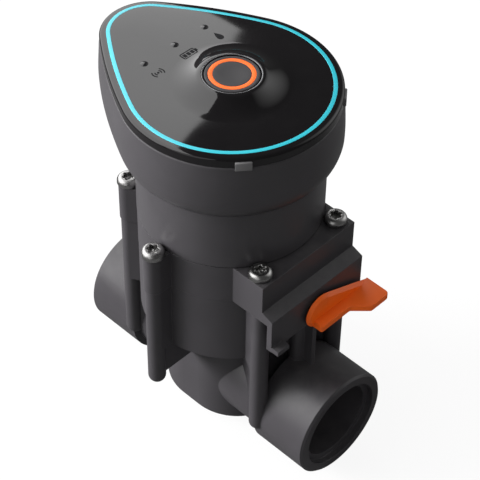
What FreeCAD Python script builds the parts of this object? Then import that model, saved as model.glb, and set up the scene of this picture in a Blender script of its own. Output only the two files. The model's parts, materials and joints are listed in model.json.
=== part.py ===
"""Irrigation valve with a battery control head, as a parametric assembly in millimetres.

The pipe axis is X, from inlet to outlet, and Z is up. The origin is the middle of the
inlet thread's mouth. The upright axis of the valve stands at body_axis along X, and the
lengths of the sheet that name a distance from the axis are measured from there.
"""

import FreeCAD, Part
import math
import os
import re
import Sketcher

os.makedirs("parts", exist_ok=True)
Vector = FreeCAD.Vector
document = FreeCAD.newDocument("irrigation_valve")
sheet = document.addObject("Spreadsheet::Sheet", "Sizes")

SIZES = {
    # Ports and pipe
    "body_axis": 52.4,
    "outlet_reach": 58.1,
    "mouth_depth": 2.6,
    "mouth_radius": 17.5,
    "thread_radius": 15.15,
    "thread_length": 17.0,
    "passage_radius": 12.5,
    "socket_radius": 21.5,
    "socket_length": 24.1,
    "socket_chamfer": 0.8,
    "neck_radius": 19.0,
    # Well under the drum
    "well_radius": 20.9,
    "well_half_length": 4.3,
    "well_bottom": 16.5,
    "well_wall": 3.0,
    "chamber_edge": 2.0,
    # Drum
    "drum_radius": 33.3,
    "drum_bottom": 27.7,
    "drum_height": 30.5,
    "drum_wall": 5.0,
    "drum_floor": 3.0,
    "seat_height": 20.3,
    "seat_radius": 11.5,
    "seat_wall": 3.0,
    "rim_width": 2.7,
    "rim_thickness": 2.4,
    "rim_recess": 2.6,
    # Screw columns
    "column_radius": 3.35,
    "outlet_column_shift": 1.8,
    "side_column_bottom": 9.0,
    "pipe_column_bottom": -4.0,
    "web_thickness": 3.0,
    "pilot_depth": 22.0,
    # Screws of the bonnet
    "screw_radius": 2.0,
    "screw_length": 34.0,
    "screw_head_radius": 4.2,
    "screw_head_height": 3.4,
    "screw_recess": 1.9,
    # Bonnet and hood
    "bonnet_height": 16.4,
    "bonnet_wall": 5.1,
    "bonnet_column_radius": 3.75,
    "deck_rise": 7.8,
    "deck_thickness": 3.5,
    "spring_boss_radius": 6.2,
    "spring_boss_height": 2.2,
    "hood_half_width": 23.2,
    "hood_wall": 2.3,
    "slant_wall": 1.61,
    "hood_face_drop": 11.6,
    "hood_slant_drop": 1.8,
    "hood_start": 24.0,
    "slant_depth": 4.8,
    "plate_gap": 1.1,
    "plate_drop": 11.8,
    "tab_reach": 3.3,
    "tab_width": 5.6,
    "tab_thickness": 2.0,
    # Diaphragm and the valve under it
    "diaphragm_thickness": 2.5,
    "diaphragm_web": 1.6,
    "diaphragm_flat_radius": 16.0,
    "plate_radius": 15.0,
    "plate_thickness": 2.0,
    "stem_radius": 3.0,
    "guide_radius": 9.5,
    "guide_thickness": 2.5,
    "wing_thickness": 1.6,
    "wing_length": 14.0,
    "valve_bolt_radius": 1.5,
    "valve_bolt_head": 3.0,
    "valve_bolt_head_height": 2.1,
    "spring_radius": 8.2,
    "spring_wire": 0.7,
    "spring_turns": 4,
    # Solenoid
    "core_tube_bore": 4.6,
    "core_tube_wall": 0.8,
    "core_tube_height": 23.9,
    "flange_thickness": 2.5,
    "nozzle_radius": 1.8,
    "nozzle_height": 1.2,
    "nozzle_bore": 0.8,
    "plunger_length": 10.8,
    "plunger_rise": 0.5,
    "plunger_gap": 2.0,
    "plunger_seal_radius": 2.6,
    "plunger_seal_thickness": 1.5,
    "plunger_spring_radius": 1.7,
    "plunger_spring_wire": 0.3,
    "plunger_spring_turns": 7,
    "plunger_spring_bore": 2.3,
    "plunger_spring_depth": 6.0,
    "stud_radius": 3.0,
    "stud_length": 6.8,
    "bobbin_flange": 13.4,
    "bobbin_flange_thickness": 1.4,
    "bobbin_wall": 1.4,
    "winding_radius": 12.4,
    "frame_thickness": 1.6,
    "frame_half_width": 9.0,
    "frame_half_depth": 15.8,
    "nut_radius": 5.2,
    "nut_height": 3.0,
    "head_room": 0.9,
    # Housing
    "housing_wall": 2.6,
    "neck_step": 0.2,
    "housing_floor_hole": 19.0,
    "housing_screw_ring": 24.6,
    "housing_boss_radius": 3.2,
    "foot_step": 8.2,
    "foot_taper": 8.9,
    "wide_centre": 0.6,
    "flank_radius": 181.0,
    # Lid
    "lid_inset": 0.2,
    "lid_wall_height": 2.6,
    "lid_edge": 1.2,
    "lid_rise": 0.8,
    "lid_thickness": 2.2,
    "spigot_depth": 5.0,
    "spigot_wall": 1.8,
    "spigot_gap": 0.3,
    "seal_height": 1.8,
    "seal_depth": 0.8,
    "trim_inset": 3.2,
    "trim_width": 1.4,
    "trim_depth": 1.2,
    "trim_proud": 0.3,
    "mound_height": 8.0,
    "mound_radius": 21.0,
    "plateau_radius": 11.5,
    # Button
    "button_radius": 9.5,
    "button_gap": 0.4,
    "bezel_width": 0.55,
    "button_thickness": 3.3,
    "button_flange_width": 2.4,
    "button_flange_thickness": 1.2,
    "button_travel": 1.0,
    "button_ring_outer": 8.15,
    "button_ring_inner": 6.56,
    "button_ring_depth": 1.0,
    "boot_inset": 1.5,
    "boot_flare": 1.0,
    "boot_foot_height": 0.8,
    "boot_wall": 1.3,
    # Board and what stands on it
    "board_space": 1.9,
    "board_thickness": 1.6,
    "board_gap": 0.6,
    "switch_size": 6.0,
    "switch_height": 3.0,
    "key_radius": 1.7,
    "led_back": 27.5,
    "led_spacing": 14.2,
    "led_size": 2.0,
    "led_height": 1.2,
    "guide_light_radius": 1.4,
    "board_screw_edge": 3.3,
    "board_boss_radius": 2.4,
    "board_screw_length": 3.4,
    # Battery and its holder
    "battery_length": 46.0,
    "battery_width": 26.5,
    "battery_height": 17.5,
    "snap_length": 2.5,
    "snap_radius": 3.2,
    "snap_spacing": 12.7,
    "strip_thickness": 0.6,
    "holder_wall": 1.5,
    "holder_gap": 0.5,
    # Contacts between head and solenoid
    "post_gap": 2.0,
    "post_thickness": 5.0,
    "post_width": 11.0,
    "post_foot_lip": 1.0,
    "post_foot_reach": 6.0,
    "post_foot_thickness": 2.0,
    "socket_block_height": 8.9,
    "socket_gap": 1.0,
    "pin_radius": 0.6,
    "pin_spacing": 5.0,
    "pin_length": 8.0,
    "pin_root": 2.0,
    "lead_radius": 0.6,
    # Release catches in the lid
    "catch_angle": 39.7,
    "catch_width": 5.6,
    "catch_height": 3.4,
    "catch_length": 4.1,
    "catch_travel": 1.0,
    "catch_drop": 0.8,
    "catch_nose": 1.3,
    # Bleed lever
    "lever_drop": 6.4,
    "lever_gap": 1.2,
    "hub_radius": 7.0,
    "hub_thickness": 1.25,
    "hub_edge": 0.2,
    "hub_chamfer": 1.4,
    "paddle_thickness": 2.8,
    "paddle_drop": 5.2,
    "paddle_chamfer": 0.9,
    "arm_back": 4.0,
    "arm_front": 10.6,
    "arm_depth": 5.2,
    "paddle_outer": 25.4,
    "paddle_depth": 10.7,
    "spindle_radius": 3.0,
    "clip_depth": 0.6,
    "clip_thickness": 0.6,
    "block_cover": 1.1,
    "square_root": 1.0,
    "square_recess": 0.4,
    "bleed_block_half_width": 6.5,
    "bleed_block_height": 12.0,
    "bleed_bore": 1.5,
    "bleed_tube_radius": 3.6,
    "bleed_step": 2.1,
    "rib_thickness": 2.0,
    "rib_setback": 0.4,
    # Seals under the housing and the solenoid, and small screws
    "housing_seal_inset": 3.8,
    "housing_seal_width": 1.6,
    "tube_seal_offset": 1.9,
    "tube_seal_width": 2.0,
    "small_screw_radius": 1.2,
    "small_head_radius": 2.4,
    "small_head_height": 1.5,
    "small_recess": 0.9,
    "post_screw_length": 6.0,
    "housing_screw_radius": 1.5,
    "housing_head_radius": 2.85,
    "housing_head_height": 2.1,
    "housing_recess": 1.2,
    # How far a cutting tool runs past a face, and clearances
    "overrun": 1.0,
    "running_clearance": 0.05,
    "fit_clearance": 0.1,
    "loose_clearance": 0.3,
}

# Outer sections of the housing from its rim down: drop below the rim, radius of the wide
# end, distance of the narrow end's centre behind the axis and radius of the narrow end.
# The foot goes by the neck that the underside runs into
SECTIONS = [
    ("rim", 0.0, 38.4, 39.65, 17.9),
    ("shoulder", 7.0, 38.85, 40.2, 18.0),
    ("belly", 14.0, 39.15, 40.6, 18.0),
    ("waist", 20.3, 38.85, 40.2, 17.8),
    ("hem", 21.6, 38.2, 39.0, 17.0),
    ("foot", 34.5, "neck_outer - foot_step", 8.8, "neck_outer - foot_taper"),
]

# Heights and reaches that follow from the sizes, each cell a formula over the ones before it
DERIVED = {
    # Heights from the drum up to the lid's crown
    "drum_top": "drum_bottom + drum_height",
    "seat_top": "drum_bottom + seat_height",
    "bonnet_top": "drum_top + bonnet_height",
    "deck_under": "drum_top + deck_rise",
    "deck_top": "deck_under + deck_thickness",
    "tube_top": "deck_top + core_tube_height",
    "core_top": "tube_top + core_tube_wall + stud_length",
    "battery_bottom": "core_top + head_room + holder_wall",
    "board_bottom": "battery_bottom + battery_height + holder_gap + holder_wall",
    "board_top": "board_bottom + board_thickness",
    "lid_under": "board_top + board_space",
    "crown": "lid_under + lid_thickness",
    "rim_top": "crown - lid_edge - lid_wall_height",
    "plateau": "rim_top + mound_height",
    "floor_top": "bonnet_top + housing_wall",
    "post_top": "board_bottom - socket_block_height - socket_gap",
    # Diaphragm and solenoid
    "cavity_radius": "drum_radius - drum_wall",
    "flat_top": "seat_top + 2 * fit_clearance + diaphragm_thickness",
    "tube_outer": "core_tube_bore + core_tube_wall",
    "frame_bottom": "deck_top + flange_thickness",
    "frame_top": "tube_top + core_tube_wall + frame_thickness",
    "plunger_bottom": "deck_top + nozzle_height + fit_clearance + plunger_rise",
    "plunger_top": "plunger_bottom + plunger_length",
    "bobbin_bottom": "frame_bottom + frame_thickness",
    "bobbin_top": "tube_top + core_tube_wall",
    "barrel": "tube_outer + fit_clearance + bobbin_wall",
    "flange_screw_at": "frame_half_width + loose_clearance + small_head_radius",
    # Housing neck and the ring of the bonnet's screws beside it
    "neck_outer": "drum_radius + neck_step",
    "column_ring": "neck_outer + loose_clearance + screw_head_radius",
    # Contact post against the neck's wall, and the battery behind it
    "post_half_length": "post_width / 2 + post_foot_reach",
    "throat_inner": "neck_outer - housing_wall",
    "post_foot_end": "sqrt(throat_inner^2 - post_half_length^2) - loose_clearance",
    "post_at": "post_foot_end - post_foot_lip - post_thickness / 2",
    "holder_end": "post_at - post_thickness / 2 - post_gap",
    "battery_centre": "holder_end - holder_wall - holder_gap - battery_length / 2",
    # Bleed spindle outwards: channel, seal, block, hood plate and lever
    "bleed_at": "drum_radius + bleed_step",
    "spindle_end": "bleed_at - 2 * bleed_bore",
    "seal_at": "bleed_at + bleed_bore + seal_depth",
    "block_reach": "seal_at + seal_depth + block_cover",
    "plate_reach": "block_reach + plate_gap + hood_wall",
    "hood_reach": "plate_reach - slant_depth",
    "lever_back": "plate_reach + lever_gap",
    "lever_face": "lever_back + hub_thickness",
    "lever_height": "drum_top - lever_drop",
    "paddle_bottom": "lever_height - paddle_drop",
    "plate_bottom": "drum_top - plate_drop",
    # Button
    "bore": "button_radius + button_gap + bezel_width",
    "button_room": "button_radius + button_flange_width + button_gap",
    "button_step": "plateau - button_thickness + loose_clearance",
}

for level, *section in SECTIONS:
    for size, content in zip(("drop", "wide", "back", "narrow"), section):
        table = DERIVED if isinstance(content, str) else SIZES
        table["%s_%s" % (level, size)] = content

for row, (alias, content) in enumerate(list(SIZES.items()) + list(DERIVED.items()), start=1):
    sheet.set("A%d" % row, alias)
    sheet.set("B%d" % row, "=" + content if alias in DERIVED else str(content))
    sheet.setAlias("B%d" % row, alias)
document.recompute()


def link(text):
    """Writes the sheet's name before each of its aliases in an expression."""
    def prefix(match):
        known = match.group() in SIZES or match.group() in DERIVED
        return "Sizes." + match.group() if known else match.group()
    return re.sub(r"[a-z][a-z_0-9]*", prefix, str(text))


def value(text):
    """The number that an expression over the sheet gives now."""
    result = sheet.evalExpression(link(text))
    return float(getattr(result, "Value", result))


def bind(item, name, text):
    item.setExpression(name, link(text))


def place(item, at, turn=None):
    """Turns an object, then binds its base point to three expressions."""
    if turn is not None:
        item.Placement = FreeCAD.Placement(Vector(0, 0, 0), turn)
    for letter, text in zip("xyz", at):
        if text != 0:
            bind(item, "Placement.Base." + letter, text)
    return item


ALONG_X = FreeCAD.Rotation(Vector(0, 1, 0), 90)
AXIS = ("body_axis", 0, 0)


def about_z(angle):
    return FreeCAD.Rotation(Vector(0, 0, 1), angle)


def on_ring(ring, angle, z):
    """The place at an angle on a ring about the upright axis."""
    x = "body_axis + (%s) * cos(%s)" % (ring, angle)
    y = "(%s) * sin(%s)" % (ring, angle)
    return (x, y, z)


def cylinder(name, radius, height, at, turn=None):
    item = document.addObject("Part::Cylinder", name)
    bind(item, "Radius", radius)
    bind(item, "Height", height)
    return place(item, at, turn)


def box(name, size, at, turn=None):
    """A box whose base point is its lowest corner."""
    item = document.addObject("Part::Box", name)
    for side, text in zip(("Length", "Width", "Height"), size):
        bind(item, side, text)
    return place(item, at, turn)


def sphere(name, radius, at):
    item = document.addObject("Part::Sphere", name)
    bind(item, "Radius", radius)
    return place(item, at)


def prism(name, sides, radius, height, at, turn=None):
    item = document.addObject("Part::Prism", name)
    item.Polygon = sides
    bind(item, "Circumradius", radius)
    bind(item, "Height", height)
    return place(item, at, turn)


def fuse(name, items):
    item = document.addObject("Part::MultiFuse", name)
    item.Shapes = items
    item.Refine = True
    return item


def cut(name, base, tools):
    tool = tools[0] if len(tools) == 1 else fuse(name + "_tools", tools)
    item = document.addObject("Part::Cut", name)
    item.Base = base
    item.Tool = tool
    return item


def group(name, items):
    """Identical fasteners in one node, each a solid of its own."""
    item = document.addObject("Part::Compound", name)
    item.Links = items
    return item


def plane_of(body, role):
    return [feature for feature in body.Origin.OriginFeatures if feature.Role == role][0]


def sketch_on(body, name, role):
    sketch = body.newObject("Sketcher::SketchObject", name)
    sketch.AttachmentSupport = [(plane_of(body, role), "")]
    sketch.MapMode = "FlatFace"
    return sketch


def draw_polygon(sketch, points):
    """A closed polygon whose corners are bound to pairs of expressions."""
    places = [Vector(value(across), value(along), 0) for across, along in points]
    first = sketch.GeometryCount
    for number, start in enumerate(places):
        sketch.addGeometry(Part.LineSegment(start, places[(number + 1) % len(places)]), False)
    for number in range(len(places)):
        following = first + (number + 1) % len(places)
        sketch.addConstraint(Sketcher.Constraint("Coincident", first + number, 2, following, 1))
    for number, (pair, start) in enumerate(zip(points, places)):
        for kind, text, size in (("DistanceX", pair[0], start.x), ("DistanceY", pair[1], start.y)):
            index = sketch.addConstraint(Sketcher.Constraint(kind, -1, 1, first + number, 1, size))
            bind(sketch, "Constraints[%d]" % index, text)


def turned(name, points, at=AXIS, turn=None):
    """A body of revolution about its own Z axis from a profile of radius and height."""
    body = document.addObject("PartDesign::Body", name)
    sketch = sketch_on(body, name + "_profile", "XZ_Plane")
    draw_polygon(sketch, points)
    revolution = body.newObject("PartDesign::Revolution", name + "_revolution")
    revolution.Profile = sketch
    revolution.ReferenceAxis = (sketch, ["V_Axis"])
    revolution.Angle = 360
    return place(body, at, turn)


def ring_of(name, inner, outer, bottom, top, at=AXIS, turn=None):
    """A ring of rectangular section."""
    return turned(name, [(inner, bottom), (outer, bottom), (outer, top), (inner, top)], at, turn)


def padded(name, points, role, depth, at, midplane=False, reverse=False):
    """A polygon on one of the body's own planes, padded to a depth."""
    body = document.addObject("PartDesign::Body", name)
    sketch = sketch_on(body, name + "_outline", role)
    draw_polygon(sketch, points)
    pad = body.newObject("PartDesign::Pad", name + "_pad")
    pad.Profile = sketch
    bind(pad, "Length", depth)
    if midplane:
        pad.Midplane = True
    pad.Reversed = reverse
    return place(body, at)


def feature(name, shape, at=None):
    """A shape made by formula, placed after it is set."""
    item = document.addObject("Part::Feature", name)
    item.Shape = shape
    return place(item, at) if at is not None else item


def spoke(name, angle, inner, outer, width, bottom, top):
    """An upright slab that runs radially between two radii."""
    item = document.addObject("Part::Box", name)
    bind(item, "Length", "(%s) - (%s)" % (outer, inner))
    bind(item, "Width", width)
    bind(item, "Height", "(%s) - (%s)" % (top, bottom))
    x = "body_axis + (%s) * cos(%s) + (%s) / 2 * sin(%s)" % (inner, angle, width, angle)
    y = "(%s) * sin(%s) - (%s) / 2 * cos(%s)" % (inner, angle, width, angle)
    return place(item, (x, y, bottom), about_z(value(angle)))


# Egg outlines of the head: a wide arc, a narrow arc behind it and two long flank arcs

def egg_arcs(wide, back, narrow, flank, z):
    """The six arcs of an egg outline about the upright axis, at a height."""
    wide_x = -value("wide_centre")
    narrow_x = -back
    span = wide_x - narrow_x
    to_wide = flank - wide
    to_narrow = flank - narrow
    centre_x = narrow_x + (span ** 2 + to_narrow ** 2 - to_wide ** 2) / (2 * span)
    centre_y = -math.sqrt(to_narrow ** 2 - (centre_x - narrow_x) ** 2)
    wide_end = math.atan2(-centre_y, wide_x - centre_x)
    narrow_end = math.atan2(-centre_y, narrow_x - centre_x)

    def arc(x, y, radius, start, end):
        points = []
        for angle in (start, (start + end) / 2, end):
            points.append(Vector(x + radius * math.cos(angle), y + radius * math.sin(angle), z))
        return Part.Arc(*points).toShape()

    return [
        arc(wide_x, 0, wide, 0, wide_end),
        arc(centre_x, centre_y, flank, wide_end, narrow_end),
        arc(narrow_x, 0, narrow, narrow_end, math.pi),
        arc(narrow_x, 0, narrow, -math.pi, -narrow_end),
        arc(centre_x, -centre_y, flank, -narrow_end, -wide_end),
        arc(wide_x, 0, wide, -wide_end, 0),
    ]


def egg(level, inset, z):
    """The outline of a housing section, drawn in by an inset."""
    wide = value(level + "_wide") - inset
    narrow = value(level + "_narrow") - inset
    flank = value("flank_radius") - inset
    return Part.Wire(egg_arcs(wide, value(level + "_back"), narrow, flank, z))


def egg_slab(inset, bottom, top, level="rim"):
    """A straight slab with the outline of a housing section."""
    face = Part.Face(egg(level, inset, bottom))
    return face.extrude(Vector(0, 0, top - bottom))


def egg_ring(outer_inset, inner_inset, bottom, top):
    """A straight ring between two insets of the rim's outline."""
    outer = egg_slab(outer_inset, bottom, top)
    return outer.cut(egg_slab(inner_inset, bottom, top))


def egg_loft(steps):
    """A solid through outlines, each given as level, inset and height."""
    wires = [egg(level, inset, z) for level, inset, z in steps]
    return Part.makeLoft(wires, True, True)


def spring_shape(radius, wire, bottom, top, turns):
    """A round-wire coil spring between two heights, each quarter turn a pair of arcs."""
    low = bottom + wire
    rise = (top - wire) - low
    steps = int(round(turns * 4))
    pitch = rise / turns
    slope = pitch / (2 * math.pi)

    def point(angle):
        return Vector(radius * math.cos(angle), radius * math.sin(angle), low + slope * angle)

    def heading(angle):
        return Vector(-radius * math.sin(angle), radius * math.cos(angle), slope).normalize()

    def bend(start, corner, end):
        middle = (start + end) * 0.5
        half_chord = (end - start).Length / 2
        rise_to_corner = (corner - middle).Length
        tilt = math.atan2(rise_to_corner, half_chord)
        crest = middle + (corner - middle) * (math.tan(tilt / 2) / math.tan(tilt))
        return Part.Arc(start, crest, end).toShape()

    edges = []
    for step in range(steps):
        start_angle = step * math.pi / 2
        end_angle = start_angle + math.pi / 2
        start, end = point(start_angle), point(end_angle)
        along, onward = heading(start_angle), heading(end_angle)
        chord = end - start
        both = along + onward
        quad = 4 - both.Length ** 2
        linear = 2 * chord.dot(both)
        reach = (-linear + math.sqrt(linear ** 2 + 4 * quad * chord.Length ** 2)) / (2 * quad)
        first_corner = start + along * reach
        last_corner = end - onward * reach
        joint = (first_corner + last_corner) * 0.5
        edges.append(bend(start, first_corner, joint))
        edges.append(bend(joint, last_corner, end))
    path = Part.Wire(edges)
    section = Part.Wire(Part.Circle(point(0), heading(0), wire).toShape())
    print("spring self-gap %.2f mm" % (pitch - 2 * wire))
    return path.makePipeShell([section], True, False)


# Screws

# Shares of a pan-head screw: its tip, its head's side, shoulder and flat, and its recess
TIP_SHARE = 0.5
SIDE_SHARE = 0.5
SHOULDER_SHARES = (0.9, 0.8)
FLAT_SHARE = 0.66
RECESS_SHARE = 0.6


def screw(name, at, shank, length, head, height, recess, lobes=6):
    """A pan-head screw that points down from the underside of its head."""
    points = [
        (0, "-(%s)" % length),
        ("(%s) * %s" % (shank, TIP_SHARE), "-(%s)" % length),
        (shank, "(%s) - (%s)" % (shank, length)),
        (shank, 0),
        (head, 0),
        (head, "(%s) * %s" % (height, SIDE_SHARE)),
        ("(%s) * %s" % (head, SHOULDER_SHARES[0]), "(%s) * %s" % (height, SHOULDER_SHARES[1])),
        ("(%s) * %s" % (head, FLAT_SHARE), height),
        (0, height),
    ]
    blank = turned(name + "_blank", points, at)
    depth = "(%s) * %s" % (height, RECESS_SHARE)
    x, y, z = at
    socket = prism(name + "_socket", lobes, recess, height, (x, y, "(%s) + %s" % (z, depth)))
    return cut(name, blank, [socket])


# Valve body

SCREW_ANGLES = (30, 90, 150, 210, 270, 330)


def column_ring_at(angle):
    """The outlet pair of lower columns stands a little further out under the hood."""
    return "(column_ring + outlet_column_shift)" if angle in (30, 330) else "column_ring"


def valve_body_columns():
    parts = []
    for angle in SCREW_ANGLES:
        bottom = "side_column_bottom" if angle in (90, 270) else "pipe_column_bottom"
        start = "(%s + column_radius)" % bottom
        ring = column_ring_at(angle)
        tag = "column_%d" % angle
        height = "drum_top - %s" % start
        parts.append(cylinder(tag, "column_radius", height, on_ring(ring, angle, start)))
        parts.append(sphere(tag + "_tip", "column_radius", on_ring(ring, angle, start)))
        width = "column_radius * 2"
        inner = "drum_radius - drum_wall / 2"
        parts.append(spoke(tag + "_flat", angle, inner, ring, width, "drum_bottom", "drum_top"))
        web_inner = "well_radius - 2 * well_wall / 3"
        under = "drum_bottom + drum_floor / 2"
        parts.append(spoke(tag + "_web", angle, web_inner, ring, "web_thickness", start, under))
    return parts


def socket_end(name, at, turn):
    """One pipe socket, from its face inward, with a small chamfer on its rim."""
    points = [
        (0, 0),
        ("socket_radius - socket_chamfer", 0),
        ("socket_radius", "socket_chamfer"),
        ("socket_radius", "socket_length"),
        (0, "socket_length"),
    ]
    return turned(name, points, at, turn)


def valve_body():
    well = []
    for tag, side in (("back", -1), ("front", 1)):
        x = "body_axis + %d * well_half_length" % side
        height = "well_bottom + drum_bottom + drum_floor / 2"
        well.append(cylinder("well_" + tag, "well_radius", height, (x, 0, "-well_bottom")))
    well.append(box("well_middle", ("well_half_length * 2", "well_radius * 2",
                                    "well_bottom + drum_bottom + drum_floor / 2"),
                    ("body_axis - well_half_length", "-well_radius", "-well_bottom")))
    inlet_face = "-mouth_depth"
    outlet_face = "body_axis + outlet_reach"
    pipe_length = "body_axis + outlet_reach + mouth_depth - 2 * socket_length"
    neck_start = "socket_length - mouth_depth - web_thickness"
    outer = [
        cylinder("drum", "drum_radius", "drum_height", ("body_axis", 0, "drum_bottom")),
        socket_end("inlet_socket", (inlet_face, 0, 0), ALONG_X),
        socket_end("outlet_socket", (outlet_face, 0, 0), FreeCAD.Rotation(Vector(0, 1, 0), -90)),
        cylinder("pipe_neck", "neck_radius", pipe_length + " + 2 * web_thickness",
                 (neck_start, 0, 0), ALONG_X),
    ]
    block_x = "body_axis + drum_radius - drum_wall / 2"
    block_reach = "block_reach - drum_radius + drum_wall / 2"
    block_bottom = "lever_height - bleed_block_height / 2"
    outer.append(box("bleed_block", (block_reach, "bleed_block_half_width * 2",
                                     "bleed_block_height"),
                     (block_x, "-bleed_block_half_width", block_bottom)))
    bleed_start = "(passage_radius + thread_radius) / 2"
    bleed_rise = "lever_height - (passage_radius + thread_radius) / 2"
    outer.append(cylinder("bleed_tube", "bleed_tube_radius", bleed_rise,
                          ("body_axis + bleed_at", 0, bleed_start)))
    rib_x = "body_axis + bleed_at"
    rib_bottom = "(passage_radius + thread_radius) / 2"
    rib_top = "min(plate_bottom - loose_clearance; %s)" % block_bottom
    outer.append(box("centre_rib", ("plate_reach - rib_setback - bleed_at", "rib_thickness",
                                    "%s - %s" % (rib_top, rib_bottom)),
                     (rib_x, "-rib_thickness / 2", rib_bottom)))
    hull = fuse("valve_body_hull", outer + well + valve_body_columns())

    floor = "(drum_bottom + drum_floor)"
    seat_outer = "(seat_radius + seat_wall)"
    ledge = "(drum_top - rim_recess)"
    cavity = turned("drum_cavity", [
        (seat_outer, floor),
        ("cavity_radius", floor),
        ("cavity_radius", ledge),
        ("cavity_radius + rim_width", ledge),
        ("cavity_radius + rim_width", "drum_top + overrun"),
        (0, "drum_top + overrun"),
        (0, "seat_top"),
        (seat_outer, "seat_top"),
    ])
    tools = [
        cavity,
        cylinder("seat_bore", "seat_radius", "seat_top + overrun", AXIS),
        cylinder("outlet_passage", "passage_radius", "outlet_reach", AXIS, ALONG_X),
        cylinder("outlet_thread", "thread_radius", "thread_length + mouth_depth",
                 ("body_axis + outlet_reach - mouth_depth - thread_length", 0, 0), ALONG_X),
        cylinder("outlet_mouth", "mouth_radius", "mouth_depth",
                 ("body_axis + outlet_reach - mouth_depth", 0, 0), ALONG_X),
        cylinder("inlet_passage", "passage_radius",
                 "body_axis - seat_radius - seat_wall - well_wall / 3 + mouth_depth",
                 ("-mouth_depth", 0, 0), ALONG_X),
        cylinder("inlet_thread", "thread_radius", "thread_length + mouth_depth",
                 ("-mouth_depth", 0, 0), ALONG_X),
        cylinder("inlet_mouth", "mouth_radius", "mouth_depth", ("-mouth_depth", 0, 0), ALONG_X),
        rising_chamber(),
        cylinder("spindle_bore", "spindle_radius + running_clearance", "drum_radius",
                 ("body_axis + spindle_end", 0, "lever_height"), ALONG_X),
        cylinder("bleed_channel", "bleed_bore", "lever_height",
                 ("body_axis + bleed_at", 0, 0)),
    ]
    for angle in SCREW_ANGLES:
        at = on_ring("column_ring", angle, "drum_top - pilot_depth")
        tools.append(cylinder("pilot_%d" % angle, "screw_radius", "pilot_depth + overrun", at))
    return cut("valve_body", hull, tools)


def rising_chamber():
    """The crescent beside the seat tube, through which the water rises into the drum."""
    bottom = "well_wall - well_bottom"
    height = "drum_bottom + drum_floor + loose_clearance + well_bottom - well_wall"
    radius = "well_radius - well_wall"
    disc = cylinder("chamber_disc", radius, height,
                    ("body_axis - well_half_length", 0, bottom))
    stretch = box("chamber_stretch", ("well_half_length", "(%s) * 2" % radius, height),
                  ("body_axis - well_half_length", "-(%s)" % radius, bottom))
    crescent = fuse("chamber_blank", [disc, stretch])
    seat_tube = cylinder("chamber_core", "seat_radius + seat_wall", "drum_radius * 3",
                         ("body_axis", 0, "-drum_radius"))
    side = box("chamber_side", ("drum_radius", "drum_radius * 2", "drum_radius * 3"),
               ("body_axis - chamber_edge", "-drum_radius", "-drum_radius"))
    return cut("rising_chamber", crescent, [seat_tube, side])


# Bonnet with the hood over the bleed

def hood_shell():
    top = "bonnet_top"
    face_low = "(bonnet_top - hood_face_drop)"
    slant_low = "(bonnet_top - hood_face_drop - hood_slant_drop)"
    inner_plate = "(plate_reach - hood_wall)"
    outline = [
        ("hood_start", top),
        ("hood_reach", top),
        ("hood_reach", face_low),
        ("plate_reach", slant_low),
        ("plate_reach", "plate_bottom"),
        (inner_plate, "plate_bottom"),
        (inner_plate, "drum_top"),
        ("hood_start", "drum_top"),
    ]
    outer = padded("hood_outer", outline, "XZ_Plane", "hood_half_width * 2", AXIS, midplane=True)
    room = [
        ("hood_start + hood_wall", "%s - hood_wall" % top),
        ("hood_reach - hood_wall", "%s - hood_wall" % top),
        ("hood_reach - hood_wall", "%s - slant_wall" % face_low),
        (inner_plate, "%s - slant_wall" % slant_low),
        (inner_plate, "plate_bottom - 1"),
        ("hood_start + hood_wall", "plate_bottom - 1"),
    ]
    inner = padded("hood_room", room, "XZ_Plane", "(hood_half_width - hood_wall) * 2", AXIS,
                   midplane=True)
    return cut("hood_shell", outer, [inner])


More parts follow.
